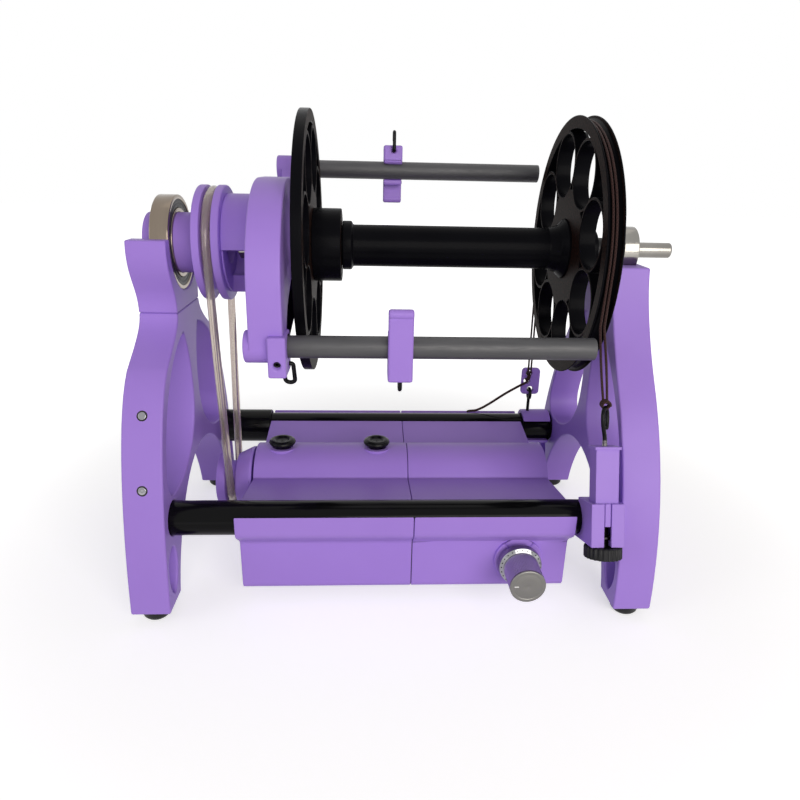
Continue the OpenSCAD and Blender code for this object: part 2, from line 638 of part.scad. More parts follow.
// A stretch of the belt that lies round a pulley
module belt_wrap(z, r, from, turn) translate([0, 0, z]) rotate([90, 0, 90]) rotate([0, 0, from])
    rotate_extrude(angle = turn) translate([r, 0]) circle(r = belt_d / 2, $fn = 32);
module drive_belt() color(clear_belt) translate([belt_x, 0, 0]) {
    r_top = whorl_r - belt_d / 2 - 0.4;
    r_low = pulley_pitch_r;
    lean = asin((r_top - r_low) / (axis_z - motor_z));
    belt_wrap(axis_z, r_top, -lean, 180 + 2 * lean);
    belt_wrap(motor_z, r_low, 180 + lean, 180 - 2 * lean);
    for (s = [-1, 1]) {
        low = [0, s * r_low * cos(lean), motor_z - r_low * sin(lean)];
        high = [0, s * r_top * cos(lean), axis_z - r_top * sin(lean)];
        splice_bar((low + high) / 2, high, belt_d / 2);
        splice_bar((low + high) / 2, low, belt_d / 2);
    }
}

// Bearings: rings with ball races, balls and seals
shoulder_share = 0.35;
seal_in = 0.4;
seal_t = 0.8;
module race(r, d) translate([r, 0]) circle(r = d / 2 + 2 * push_fit, $fn = 48);
module outer_ring(x0, w, r_out, r_pitch, d) on_axis() translate([x0 + w / 2, 0, 0]) turned_x() difference() {
    translate([r_pitch + shoulder_share * d, -w / 2]) square([r_out - r_pitch - shoulder_share * d, w]);
    race(r_pitch, d);
}
module inner_ring(x0, w, r_in, r_pitch, d) on_axis() translate([x0 + w / 2, 0, 0]) turned_x() difference() {
    translate([r_in, -w / 2]) square([r_pitch - shoulder_share * d - r_in, w]);
    race(r_pitch, d);
}
brg_pitch = (brg_od + brg_id) / 4;
tail_pitch = (tail_od + shaft_d) / 4;
module flyer_bearing_outer() color(steel) outer_ring(brg_x0, brg_w, brg_od / 2, brg_pitch, ball_d);
module flyer_bearing_inner() color(steel) inner_ring(brg_x0, brg_w, brg_id / 2 + push_fit, brg_pitch, ball_d);
module tail_bearing_outer() color(steel) outer_ring(tail_x0, tail_w, tail_od / 2, tail_pitch, tail_ball_d);
module tail_bearing_inner() color(steel)
    inner_ring(tail_x0, tail_w, shaft_d / 2 + push_fit, tail_pitch, tail_ball_d);
module ball_ring(x, r, d, n) on_axis() for (i = [0 : n - 1])
    rotate([360 * i / n, 0, 0]) translate([x, 0, r]) sphere(r = d / 2, $fn = 32);
module bearing_balls() color(steel) {
    ball_ring(brg_x0 + brg_w / 2, brg_pitch, ball_d, 12);
    ball_ring(tail_x0 + tail_w / 2, tail_pitch, tail_ball_d, 7);
}
module seal_pair(x0, w, r_pitch, d) on_axis() for (x = [x0 + seal_in, x0 + w - seal_in - seal_t])
    ring_x(x, x + seal_t, r_pitch + shoulder_share * d, r_pitch - shoulder_share * d + pass_gap);
module bearing_seals() color(soft_black) {
    seal_pair(brg_x0, brg_w, brg_pitch, ball_d);
    seal_pair(tail_x0, tail_w, tail_pitch, tail_ball_d);
}

// Flyer: tube, whorl, hub with yarn windows, yoke, arms and shaft
arm_c = [-arm_r * cos(arm_tilt), -arm_r * sin(arm_tilt)];
finger_r = arm_d / 2 + 2.2;
finger_top = -18;
crown_r = 20;
crown_y = -8;
step_r = 8.6;
step_x0 = hub_x1 - 9.5;
nut_t = 5.5;
yoke_block = [7.9, 17, 18];
set_screw_r = 1.5;
yoke_hook_at = [yoke_block_x, -3, -arm_d / 2 - 2.4];
module on_arm(side) on_axis() rotate([side < 0 ? arm_tilt : arm_tilt + 180, 0, 0])
    translate([0, -arm_r, 0]) children();
module orifice_tube() color(violet) on_axis() turned_x() polygon([
    [orifice_d / 2 + 0.8, tube_x0], [brg_id / 2 - 0.8, tube_x0], [brg_id / 2, tube_x0 + 0.8],
    [brg_id / 2, whorl_x1], [orifice_d / 2, whorl_x1], [orifice_d / 2, tube_x0 + 0.8]]);
module drive_whorl() color(violet) on_axis() turned_x() {
    floor_r = whorl_r - belt_d - 0.4 - pass_gap;
    bore_r = brg_id / 2 + push_fit;
    polygon([[bore_r, whorl_x0], [whorl_r - 0.8, whorl_x0], [whorl_r, whorl_x0 + 0.8],
        [whorl_r, belt_x - groove_w / 2 - 0.4], [floor_r, belt_x - groove_w / 2],
        [floor_r, belt_x + groove_w / 2], [whorl_r, belt_x + groove_w / 2 + 0.4],
        [whorl_r, whorl_x1 - 0.8], [whorl_r - 0.8, whorl_x1], [bore_r, whorl_x1]]);
}
module flyer_hub() color(violet) on_axis() difference() {
    along_x(whorl_x1, hub_x1, hub_r);
    along_x(whorl_x1 - 1, hub_x1 + 1, orifice_d / 2 + 6);
    for (a = [0, 180]) rotate([window_tilt + a, 0, 0]) rotate([0, 90, 0])
        rotate([0, 0, -90 - window_half]) translate([0, 0, whorl_x1 + 1])
            rotate_extrude(angle = 2 * window_half) square([hub_r + 5, hub_len - 2]);
}
// Half of the yoke's outline: the round middle, a shoulder and the finger that ends round an arm
module yoke_half() {
    front = arm_c.x - finger_r;
    mid = [front + yoke_shoulder, yoke_top - yoke_shoulder];
    scoop = finger_top - arm_c.y;
    circle(r = yoke_r);
    translate(mid) intersection() {
        circle(r = yoke_shoulder);
        translate([-yoke_shoulder, -1]) square(yoke_shoulder + 1);
    }
    translate([front, finger_top]) square([-front, mid.y - finger_top + 1]);
    translate(mid) square([crown_y - mid.x, yoke_shoulder]);
    translate([crown_y, yoke_top - crown_r]) circle(r = crown_r);
    translate([front, arm_c.y]) square([2 * finger_r, mid.y - arm_c.y + 1]);
    translate(arm_c) circle(r = finger_r);
    translate([arm_c.x, arm_c.y]) difference() {
        square([finger_r + scoop, scoop + 1]);
        translate([finger_r + scoop, 0]) circle(r = scoop);
    }
}
module flyer_yoke() color(violet) on_axis() difference() {
    union() {
        for (turn = [0, 180]) rotate([turn, 0, 0]) {
            plate_x(hub_x1, yoke_x1) yoke_half();
            translate([0, arm_c.x, arm_c.y]) along_x(hub_x1 - 2.8, hub_x1 + 1, finger_r);
            translate([yoke_block_x - yoke_block.x, arm_c.x - 11, arm_c.y - 11.4]) cube(yoke_block);
        }
        along_x(step_x0, hub_x1 + 1, step_r);
    }
    along_x(step_x0 - 1, yoke_x1 + 1, shaft_d / 2 + push_fit);
    along_x(yoke_x1 - 3, yoke_x1 + 1, yoke_r - 4);
    for (turn = [0, 180]) rotate([turn + arm_tilt, 0, 0]) translate([0, -arm_r, 0]) {
        along_x(arm_x0, yoke_block_x + 1, arm_d / 2 + push_fit);
        translate([yoke_block_x - yoke_block.x / 2, 0, 0]) along_y(-20, 0, set_screw_r + push_fit);
        translate(yoke_hook_at) along_x(-wire_seat, 1, wire_d / 2 + push_fit);
    }
}
module arm(side) color(carbon) on_arm(side) ring_x(arm_x0, arm_x1, arm_d / 2, arm_d / 2 - arm_wall);
module front_arm() arm(-1);
module rear_arm() arm(1);
module arm_set_screws() color(soft_black) for (side = [-1, 1]) on_arm(side)
    translate([yoke_block_x - yoke_block.x / 2, 0, 0]) along_y(-arm_d / 2 - 3.6, -arm_d / 2, set_screw_r);
module flyer_shaft() color(steel) on_axis() turned_x() polygon([[0, shaft_x0], [shaft_d / 2 - 0.5, shaft_x0],
    [shaft_d / 2, shaft_x0 + 0.5], [shaft_d / 2, shaft_x1 - 1], [shaft_d / 2 - 1, shaft_x1], [0, shaft_x1]]);
module shaft_nut() color(steel) on_axis() difference() {
    along_x(step_x0 - nut_t, step_x0, shaft_d * 0.94, $fn = 6);
    along_x(step_x0 - nut_t - 1, step_x0 + 1, shaft_d / 2 + push_fit);
}
module yoke_hooks() color(soft_black) for (side = [-1, 1]) on_arm(side)
    translate(yoke_hook_at) {
        along_x(-wire_seat, 2.5, wire_d / 2);
        translate([2.5, 0, 0]) sphere(r = wire_d / 2, $fn = 32);
        translate([2.5, 0, 0]) wire_hook(8, 2.2, -1, 1.5);
    }
module tail_spacer() color(soft_black) on_axis()
    ring_x(bobbin_x1 + pass_gap, tail_x0, shaft_d / 2 + 2, shaft_d / 2 + push_fit);

// Bobbin: two openwork flanges on a turned core with a bush at each end
spigot_r = 15;
hub_web_r = 2 * spigot_r;
rim_in = flange_d / 2 - rim_w;
lattice_mid_r = rim_in / (1 + sin(180 / lattice_count));
lattice_ring_r = rim_in - lattice_mid_r;
lattice_turn = 30;
module lattice_rings(r) for (i = [0 : lattice_count - 1]) rotate(lattice_turn + 360 * i / lattice_count)
    translate([lattice_mid_r, 0]) circle(r = r);
module lattice_2d() {
    difference() {
        circle(r = flange_d / 2);
        circle(r = rim_in);
    }
    difference() {
        union() {
            circle(r = hub_web_r);
            lattice_rings(lattice_ring_r + lattice_bar / 2);
        }
        lattice_rings(lattice_ring_r - lattice_bar / 2);
        circle(r = spigot_r + push_fit);
    }
}
module bobbin_front_flange() color(soft_black) on_axis() plate_x(flange_x0, flange_x1) lattice_2d();
module bobbin_brake_flange() color(soft_black) on_axis() difference() {
    plate_x(brake_x0, brake_x1) lattice_2d();
    turned_x() translate([groove_mid_r, brake_x]) circle(r = brake_groove_r);
}
module bobbin_core() color(soft_black) on_axis() turned_x() {
    bore_r = shaft_d / 2 + 1.5;
    polygon([[bore_r, bobbin_x0], [12, bobbin_x0], [12, flange_x0], [spigot_r, flange_x0],
        [spigot_r, flange_x1], [collar_r, flange_x1], [collar_r, collar_x1], [core_r, collar_x1],
        [core_r, collar_x1 + 0.6], [core_r + 1.8, collar_x1 + 0.6], [core_r + 1.8, bead_x1 - 1],
        [core_r, bead_x1], [core_r, brake_x0 - 9], [core_r + 1.5, brake_x0 - 4], [spigot_r, brake_x0 - 1],
        [spigot_r, brake_x1], [10, brake_x1], [10, bobbin_x1], [bore_r, bobbin_x1]]);
}
module bobbin_bushes() color(bronze) on_axis() for (x = [bobbin_x0, bobbin_x1 - 12])
    ring_x(x, x + 12, shaft_d / 2 + 1.5 - push_fit, shaft_d / 2 + running_fit);

// Sliding yarn hooks: a spring clip on each arm with a wire hook
clip_wire_at = [clip_x + 0.5, arm_c.x + arm_d / 2, arm_c.y - arm_d / 2 - 6];
module on_clip(side) on_axis() rotate([side < 0 ? 0 : 180, 0, 0]) children();
module hook_clip(side) color(violet) on_clip(side) difference() {
    bore = arm_d / 2 + running_fit;
    skin = bore + clip_wall;
    plate_x(clip_x - clip_w / 2, clip_x + clip_w / 2) translate(arm_c) difference() {
        union() {
            circle(r = skin);
            translate([-skin, 0]) square([clip_wall, 15]);
            translate([-skin + 1.3, 16.4]) circle(r = 2.2);
            translate([-skin, -arm_d / 2 - 9]) square([skin + arm_d / 2, arm_d / 2 + 9]);
        }
        circle(r = bore);
        rotate(-40) square([skin * 2, bore * 1.7]);
        translate([1, 0]) square([skin, 2 * skin]);
    }
    translate(clip_wire_at) along_y(-wire_seat, 1, wire_d / 2 + push_fit);
}
module hook_wire(side) color(soft_black) on_clip(side) translate(clip_wire_at) {
    along_y(-wire_seat, 2.2, wire_d / 2);
    translate([0, 2.2, 0]) sphere(r = wire_d / 2, $fn = 32);
    translate([0, 2.2, 0]) rotate([0, 0, 90]) wire_hook(8, 2.2, -1, 3);
}
module front_hook_clip() hook_clip(-1);
module front_hook_wire() hook_wire(-1);
module rear_hook_clip() hook_clip(1);
module rear_hook_wire() hook_wire(1);

// Brake: bracket on the front rod, screw and slider, cord over the flange, anchor on the rear rod
module tension_bracket() color(violet) on_bracket() difference() {
    arm_end = rod_r + 2.4;
    plate_x(bracket_x - bracket_w / 2, bracket_x + bracket_w / 2) difference() {
        polygon([[bracket_front, -bracket_half], [bracket_front, bracket_half], [-2.5, bracket_half],
            [-2.5, 0], [arm_end, 0], [arm_end, -bracket_half]]);
        circle(r = rod_r + push_fit);
    }
    translate([bracket_x - slider_w / 2 - pass_gap, slider_y - slider_t / 2 - pass_gap, -bracket_half + 3])
        cube([slider_w + 2 * pass_gap, slider_t + 2 * pass_gap, 3 * bracket_half]);
    translate([bracket_x - slot_w / 2, bracket_front - 1, -bracket_half - 1])
        cube([slot_w, slider_y - bracket_front + 1, 3 * bracket_half]);
    translate([bracket_x, slider_y, -bracket_half - 1]) cylinder(h = 6, r = tension_screw_d / 2 + pass_gap);
}
module tension_slider() color(violet) on_bracket() difference() {
    union() {
        translate([bracket_x - slider_w / 2, slider_y - slider_t / 2, slider_low])
            cube([slider_w, slider_t, slider_top - slider_low]);
        translate([bracket_x - slider_w / 2 - 0.8, slider_y - slider_t / 2 - 0.8, slider_top - cap_t])
            cube([slider_w + 1.6, slider_t + 1.6, cap_t]);
        translate([bracket_x - slot_w / 2 + pass_gap, bracket_front + 0.4, slider_low])
            cube([slot_w - 2 * pass_gap, slider_t / 2, bracket_half - slider_low]);
    }
    translate([bracket_x, slider_y, slider_low - 1])
        cylinder(h = 14 + 2 * slider_travel, r = tension_screw_d / 2 + running_fit);
    translate([bracket_x, slider_y, slider_top - wire_seat])
        cylinder(h = wire_seat + 1, r = wire_d / 2 + push_fit);
}
module tension_screw() color(soft_black) on_bracket() translate([bracket_x, slider_y, 0]) {
    groove = 0.9;
    translate([0, 0, wheel_low]) cylinder(h = slider_low + 12 - wheel_low, r = tension_screw_d / 2);
    translate([0, 0, wheel_low]) difference() {
        cylinder(h = wheel_h, r = wheel_d / 2);
        for (i = [0 : 23]) rotate(15 * i + 7.5) translate([wheel_d / 2 + groove / 2, 0, -1])
            cylinder(h = wheel_h + 2, r = groove, $fn = 24);
    }
    translate([0, 0, -bracket_half + 3 + pass_gap]) cylinder(h = 1, r = tension_screw_d / 2 + 1.4);
}
// A wire eye that stands on its stem, open on one side
module wire_eye(seat, stem) {
    translate([0, 0, -seat]) cylinder(h = seat + stem - eye_r, r = wire_d / 2);
    translate([0, 0, stem]) rotate([90, 0, 90]) rotate([0, 0, -90]) rotate_extrude(angle = 310)
        translate([eye_r, 0]) circle(r = wire_d / 2, $fn = 32);
}
module brake_hook() color(soft_black) on_bracket() translate([bracket_x, slider_y, slider_top])
    wire_eye(wire_seat, eye_z - slider_top);
module anchor_clip() color(violet) difference() {
    at_rod(1) plate_x(clip_x0, inner_x - 1.5) difference() {
        circle(r = rod_r + 3);
        circle(r = rod_r + push_fit);
        translate([-big, -rod_r * 0.8]) square([big - 1, rod_r * 1.6]);
    }
    translate([anchor_x, rod_y, clip_top - 2.4]) cylinder(h = 4, r = wire_d / 2 + push_fit);
}
module anchor_hook() color(soft_black) translate([anchor_x, rod_y, clip_top])
    wire_eye(2.4, anchor_eye_z - clip_top);
module cord_toggle() color(violet) translate([anchor_x, rod_y, toggle_z]) rotate([90, 0, 0])
    translate([0, 0, -toggle_size.y / 2]) linear_extrude(toggle_size.y) difference() {
        corner = 2.5;
        union() {
            translate([-toggle_size.x / 2 + corner, 0]) square([toggle_size.x - 2 * corner, toggle_size.z]);
            translate([-toggle_size.x / 2, corner]) square([toggle_size.x, toggle_size.z - 2 * corner]);
            for (x = [-1, 1], z = [corner, toggle_size.z - corner])
                translate([x * (toggle_size.x / 2 - corner), z]) circle(r = corner);
        }
        for (hole = toggle_holes) translate(hole) circle(r = toggle_hole_r);
    }
module cord_on_flange(from, to) for (s = [-1, 1]) translate([brake_x + s * cord_pair, 0, 0])
    rotate([90, 0, 90]) rotate([0, 0, from]) rotate_extrude(angle = to - from) translate([cord_r, 0])
        circle(r = cord_d / 2, $fn = 24);
module brake_cord() color(cord_brown) on_axis() {
    rear_end = round_axis(cord_r, rear_touch);
    front_end = round_axis(cord_r, front_touch);
    cord_on_flange(rear_touch, front_touch);
    for (x = [brake_x - cord_pair, brake_x + cord_pair]) {
        splice_bar([x, knee.x, knee.y], [x, front_end.x, front_end.y], cord_d / 2);
        splice_bar([x, rear_grip.x, rear_grip.y], [x, rear_end.x, rear_end.y], cord_d / 2);
        translate([x, rear_grip.x, rear_grip.y]) {
            sphere(r = cord_d / 2, $fn = 32);
            along_y(0, rod_y + 2.5 - rear_grip.x, cord_d / 2);
        }
    }
}
module brake_cord_front() color(cord_brown) {
    for (s = [-1, 1]) on_axis() {
        low = [bracket_x + s * cord_pair, front_grip.x, front_grip.y];
        high = [brake_x + s * cord_pair, knee.x, knee.y];
        bar(low, high - pass_gap * unit(high - low), cord_d / 2);
    }
    translate([bracket_x, knot.x, knot.y]) rotate([90, 0, 0]) rotate_extrude() translate([knot_r, 0])
        circle(r = cord_d / 2, $fn = 24);
}
module brake_cord_tail() color(cord_brown) swept_cord(tail_route, cord_d / 2);

module placed() translate([-mid_x, -mid_y, foot_h - leg_z]) children();
placed() left_upright();
placed() bearing_cradle();
placed() right_upright();
placed() rubber_feet();
placed() front_rod();
placed() rear_rod();
placed() rod_screws();
placed() rear_sleeve();
placed() tool_magnets();
placed() motor_tray();
placed() control_tray();
placed() motor_cover();
placed() control_cover();
placed() vent_grommets();
placed() motor_can();
placed() circuit_board();
placed() speed_pot();
placed() power_inlet();
placed() switch_body();
placed() drive_belt();
placed() flyer_bearing_outer();
placed() tail_bearing_outer();
placed() bearing_balls();
placed() bearing_seals();
placed() tension_bracket();
placed() anchor_clip();
placed() anchor_hook();
placed() cord_toggle();
placed() brake_cord();
placed() brake_cord_tail();
placed() flyer_bearing_inner();
placed() tail_bearing_inner();
placed() orifice_tube();
placed() drive_whorl();
placed() flyer_hub();
placed() flyer_yoke();
placed() front_arm();
placed() rear_arm();
placed() flyer_shaft();
placed() shaft_nut();
placed() arm_set_screws();
placed() yoke_hooks();
placed() tail_spacer();
placed() bobbin_front_flange();
placed() bobbin_core();
placed() bobbin_brake_flange();
placed() bobbin_bushes();
placed() front_hook_clip();
placed() front_hook_wire();
placed() rear_hook_clip();
placed() rear_hook_wire();
placed() motor_shaft();
placed() motor_pulley();
placed() speed_knob();
placed() tension_screw();
placed() tension_slider();
placed() brake_hook();
placed() brake_cord_front();
placed() direction_toggle();
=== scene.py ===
import json
import math

import bmesh
import bpy
import numpy as np
from mathutils import Matrix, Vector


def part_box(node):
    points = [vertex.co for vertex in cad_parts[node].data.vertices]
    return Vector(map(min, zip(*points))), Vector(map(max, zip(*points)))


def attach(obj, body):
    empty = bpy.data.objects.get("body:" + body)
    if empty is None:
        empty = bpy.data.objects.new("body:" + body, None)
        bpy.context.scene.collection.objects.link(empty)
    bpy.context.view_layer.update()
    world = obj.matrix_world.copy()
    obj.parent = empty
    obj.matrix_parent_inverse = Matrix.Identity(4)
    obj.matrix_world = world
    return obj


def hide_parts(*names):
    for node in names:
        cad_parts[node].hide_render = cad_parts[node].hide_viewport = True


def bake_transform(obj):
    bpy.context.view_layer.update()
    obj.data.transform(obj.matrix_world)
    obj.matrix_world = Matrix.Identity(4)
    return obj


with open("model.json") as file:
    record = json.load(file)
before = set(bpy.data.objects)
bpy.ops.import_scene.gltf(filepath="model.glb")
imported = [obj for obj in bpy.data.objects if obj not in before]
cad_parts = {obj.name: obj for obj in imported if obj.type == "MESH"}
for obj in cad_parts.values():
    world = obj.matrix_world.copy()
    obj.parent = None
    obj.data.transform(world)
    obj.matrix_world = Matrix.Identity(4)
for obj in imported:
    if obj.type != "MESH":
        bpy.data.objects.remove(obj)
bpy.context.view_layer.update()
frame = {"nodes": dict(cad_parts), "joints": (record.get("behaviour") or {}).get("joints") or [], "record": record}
nodes = frame["nodes"]
bodyOf = {n: body for body, names in frame["record"]["behaviour"]["bodies"].items() for n in names}
slotOf = {part["node"]: part["material_slot"] for part in frame["record"]["subparts"]}
jointOf = {joint["name"]: joint for joint in frame["joints"]}
mm = 0.001  # all sizes below are millimetres in the frame, and meshes are made in metres
turn = 2 * math.pi


# Places that the frame gives
def boxOf(node):
    low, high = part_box(node)
    return np.array(low) / mm, np.array(high) / mm


axisAt = np.array(jointOf["flyer_spin"]["pos_m"]) / mm
motorAt = np.array(jointOf["motor_spin"]["pos_m"]) / mm
slideAxis = np.array(jointOf["tension_slide"]["axis"])
unitX, unitY, unitZ = np.eye(3)


# A pose from its columns: the three directions of an object, and its place
def poseOf(*columns):
    pose = np.eye(4)
    pose[:3] = np.stack(columns, 1)
    return Matrix(pose.tolist())


# Camera at the photograph's viewing angle, in mm and degrees. Yaw turns the view to the left, pitch lowers it and roll
# turns it round the line of sight.
cameraSettings = {
    "place": (-22.7, -336.1, 212.8),
    "yaw": -3.02,
    "pitch": 20.04,
    "roll": -1.305,
    "lens": 28.85,
    "sensor": 36,
    "clip": 10,
}


def addCamera(s):
    yaw, pitch, roll = (math.radians(s[k]) for k in ("yaw", "pitch", "roll"))
    ahead = np.array([-math.sin(yaw) * math.cos(pitch), math.cos(yaw) * math.cos(pitch), -math.sin(pitch)])
    right = np.array([math.cos(yaw), math.sin(yaw), 0.0])
    down = np.cross(ahead, right)
    across = math.cos(roll) * right + math.sin(roll) * down
    below = math.cos(roll) * down - math.sin(roll) * right
    camera = bpy.data.objects.new("photoCamera", bpy.data.cameras.new("photoCamera"))
    camera.data.sensor_width = s["sensor"]
    camera.data.lens = s["lens"]
    camera.data.clip_start = s["clip"] * mm
    camera.matrix_world = poseOf(across, -below, -ahead, np.array(s["place"]) * mm)
    bpy.context.scene.collection.objects.link(camera)
    bpy.context.scene.camera = camera


addCamera(cameraSettings)


# Materials
# Linear light from an sRGB hex colour: c / 12.92 for the darkest values, else (c + 0.055) / 1.055 to the power of 2.4
def hexLinear(text):
    srgb = np.array([int(text[k:k + 2], 16) for k in (1, 3, 5)]) / 255
    linear = np.where(srgb <= 0.04045, srgb / 12.92, ((srgb + 0.055) / 1.055) ** 2.4)
    return (*linear.tolist(), 1.0)


# Each input of a new node is a value, or the socket that feeds it
def addNode(tree, kind, settings=None, inputs=None):
    node = tree.nodes.new(kind)
    for key, value in (settings or {}).items():
        setattr(node, key, value)
    for key, value in (inputs or {}).items():
        if isinstance(value, bpy.types.NodeSocket):
            tree.links.new(value, node.inputs[key])
        else:
            node.inputs[key].default_value = value
    return node


def startMaterial(name, shaderValues):
    material = bpy.data.materials.new(name)
    material.use_nodes = True
    tree = material.node_tree
    shader = tree.nodes["Principled BSDF"]
    for key, value in shaderValues.items():
        shader.inputs[key].default_value = value
    return material, tree, shader


# Two tones mixed by a value from 0 to 1
def mixedTones(tree, by, tones):
    return addNode(tree, "ShaderNodeMix", {"data_type": "RGBA"}, {
        0: by, 6: hexLinear(tones[0]), 7: hexLinear(tones[1])}).outputs[2]


# The cloud mixes the two tones. The grain varies the gloss over the middle of its range, and raises bumps that are
# a fifth as high as the grain is wide.
grainSettings = {"range": (0.3, 0.7), "height": 0.2, "cloudDetail": 3.0, "detail": 2.0}


def colouredBy(tree, shader, s, cloud, grain):
    low, high = grainSettings["range"]
    tone = mixedTones(tree, cloud, s["tones"])
    gloss = addNode(tree, "ShaderNodeMapRange", inputs={
        0: grain, 1: low, 2: high, 3: s["rough"][0], 4: s["rough"][1]}).outputs[0]
    bump = addNode(tree, "ShaderNodeBump", inputs={
        "Height": grain, "Strength": s["bump"], "Distance": s["grainMm"] * mm * grainSettings["height"]}).outputs[0]
    for socket, key in ((tone, "Base Color"), (gloss, "Roughness"), (bump, "Normal")):
        tree.links.new(socket, shader.inputs[key])
    return tone, gloss, bump


# Two tones drift into each other over cloudMm, and a grain of grainMm varies the gloss and the height.
# stretch draws the grain out along an axis: 0.05 there makes it twenty times longer.
def grainedSurface(name, s, shaderValues):
    material, tree, shader = startMaterial(name, shaderValues)
    coords = addNode(tree, "ShaderNodeTexCoord").outputs["Object"]
    drawn = addNode(tree, "ShaderNodeMapping", inputs={"Vector": coords, "Scale": s.get("stretch", (1, 1, 1))})
    cloud, grain = (addNode(tree, "ShaderNodeTexNoise", inputs={
        "Vector": drawn.outputs[0], "Scale": 1 / (s[size] * mm), "Detail": grainSettings[detail]}).outputs[0]
        for size, detail in (("cloudMm", "cloudDetail"), ("grainMm", "detail")))
    return material, tree, shader, *colouredBy(tree, shader, s, cloud, grain)


violetSettings = {
    "tones": ("#9F7CD6", "#A887DE"), "cloudMm": 45, "rough": (0.36, 0.46), "grainMm": 0.9, "bump": 0.05,
    "layerMm": 0.8, "layerBump": 0.05, "layerHeight": 0.1, "layerWarp": 0.4,
}


# Printed polymer, vapour smoothed: even satin gloss with the faintest trace of its layers.
# Real layers are 0.2 mm, drawn four times coarser so that a trace of them shows.
def violetPolymer(s):
    material, tree, shader, *_, bump = grainedSurface("violetPrintedPolymer", s, {
        "IOR": 1.46, "Specular IOR Level": 0.26})
    coords = addNode(tree, "ShaderNodeTexCoord").outputs["Object"]
    # A wave of scale 1 repeats every turn / 20
    layers = addNode(tree, "ShaderNodeTexWave", {"bands_direction": "Z"}, {
        "Vector": coords, "Scale": turn / 20 / (s["layerMm"] * mm), "Distortion": s["layerWarp"], "Detail": 1.0})
    ridges = addNode(tree, "ShaderNodeBump", inputs={
        "Height": layers.outputs[1], "Strength": s["layerBump"], "Distance": s["layerHeight"] * mm, "Normal": bump})
    tree.links.new(ridges.outputs[0], shader.inputs["Normal"])
    return material


bobbinSettings = {
    "tones": ("#08080B", "#101014"), "cloudMm": 25, "rough": (0.2, 0.3), "grainMm": 0.5, "bump": 0.06,
    "flatTones": ("#0B0706", "#2A1813"), "flatGrainMm": 1.1, "flatBump": 0.5, "flatHeight": 0.25, "flatRough": 0.5,
    "facing": (0.93, 0.98), "speck": (0.42, 0.66),
}


# Printed black polymer: glossy walls, and flats with the pebbled, brownish texture of a print plate
def bobbinPolymer(s):
    material, tree, shader, tone, gloss, bump = grainedSurface("blackPrintedPolymer", s, {
        "IOR": 1.1, "Specular IOR Level": 0.4})
    coords = addNode(tree, "ShaderNodeTexCoord")
    side = addNode(tree, "ShaderNodeSeparateXYZ", inputs={0: coords.outputs["Normal"]})
    facing = addNode(tree, "ShaderNodeMath", {"operation": "ABSOLUTE"}, {0: side.outputs[0]})
    flat = addNode(tree, "ShaderNodeMapRange", inputs={
        0: facing.outputs[0], 1: s["facing"][0], 2: s["facing"][1]}).outputs[0]
    pebble = addNode(tree, "ShaderNodeTexNoise", inputs={
        "Vector": coords.outputs["Object"], "Scale": 1 / (s["flatGrainMm"] * mm),
        "Detail": grainSettings["detail"]}).outputs[0]
    speck = addNode(tree, "ShaderNodeMapRange", inputs={0: pebble, 1: s["speck"][0], 2: s["speck"][1]}).outputs[0]
    allTone = addNode(tree, "ShaderNodeMix", {"data_type": "RGBA"}, {
        0: flat, 6: tone, 7: mixedTones(tree, speck, s["flatTones"])})
    allGloss = addNode(tree, "ShaderNodeMix", inputs={0: flat, 2: gloss, 3: s["flatRough"]})
    raised = addNode(tree, "ShaderNodeMath", {"operation": "MULTIPLY"}, {0: pebble, 1: flat})
    pebbled = addNode(tree, "ShaderNodeBump", inputs={
        "Height": raised.outputs[0], "Strength": s["flatBump"], "Distance": s["flatHeight"] * mm, "Normal": bump})
    tree.links.new(allTone.outputs[2], shader.inputs["Base Color"])
    tree.links.new(allGloss.outputs[0], shader.inputs["Roughness"])
    tree.links.new(pebbled.outputs[0], shader.inputs["Normal"])
    return material


cordSettings = {
    "tones": ("#1A0D0C", "#3A211E"), "strandsRound": 6.0, "plaitMm": 1.6, "rough": 0.62, "bump": 0.7, "height": 0.2,
}


# Braided cord: two sets of strands cross over each other round the cord, read from its own UV map,
# where U counts turns round it and V millimetres along it. The hollows between the strands are painted darker than
# their crests: painted shade.
def braidedCord(s):
    material, tree, shader = startMaterial("braidedCord", {
        "Roughness": s["rough"], "Specular IOR Level": 0.2, "Sheen Weight": 0.06, "Sheen Roughness": 0.5})
    uv = addNode(tree, "ShaderNodeUVMap", {"uv_map": "along"})
    part = addNode(tree, "ShaderNodeSeparateXYZ", inputs={0: uv.outputs[0]})
    ways = []
    for way in (1, -1):
        strand = addNode(tree, "ShaderNodeMath", {"operation": "MULTIPLY"}, {
            0: part.outputs[0], 1: s["strandsRound"] / 2})
        lead = addNode(tree, "ShaderNodeMath", {"operation": "MULTIPLY_ADD"}, {
            0: part.outputs[1], 1: way / s["plaitMm"], 2: strand.outputs[0]})
        angle = addNode(tree, "ShaderNodeMath", {"operation": "MULTIPLY"}, {0: lead.outputs[0], 1: turn})
        ways.append(addNode(tree, "ShaderNodeMath", {"operation": "SINE"}, {0: angle.outputs[0]}))
    over = addNode(tree, "ShaderNodeMath", {"operation": "MAXIMUM"}, {0: ways[0].outputs[0], 1: ways[1].outputs[0]})
    height = addNode(tree, "ShaderNodeMapRange", inputs={0: over.outputs[0], 1: -1.0, 2: 1.0}).outputs[0]
    bump = addNode(tree, "ShaderNodeBump", inputs={
        "Height": height, "Strength": s["bump"], "Distance": s["height"] * mm})
    # Tone follows the braid's height: painted shade in the hollows between the strands, lighter crests
    tree.links.new(mixedTones(tree, height, s["tones"]), shader.inputs["Base Color"])
    tree.links.new(bump.outputs[0], shader.inputs["Normal"])
    return material


metal = {"Metallic": 1.0}
violet = violetPolymer(violetSettings)
bobbinBlack = bobbinPolymer(bobbinSettings)
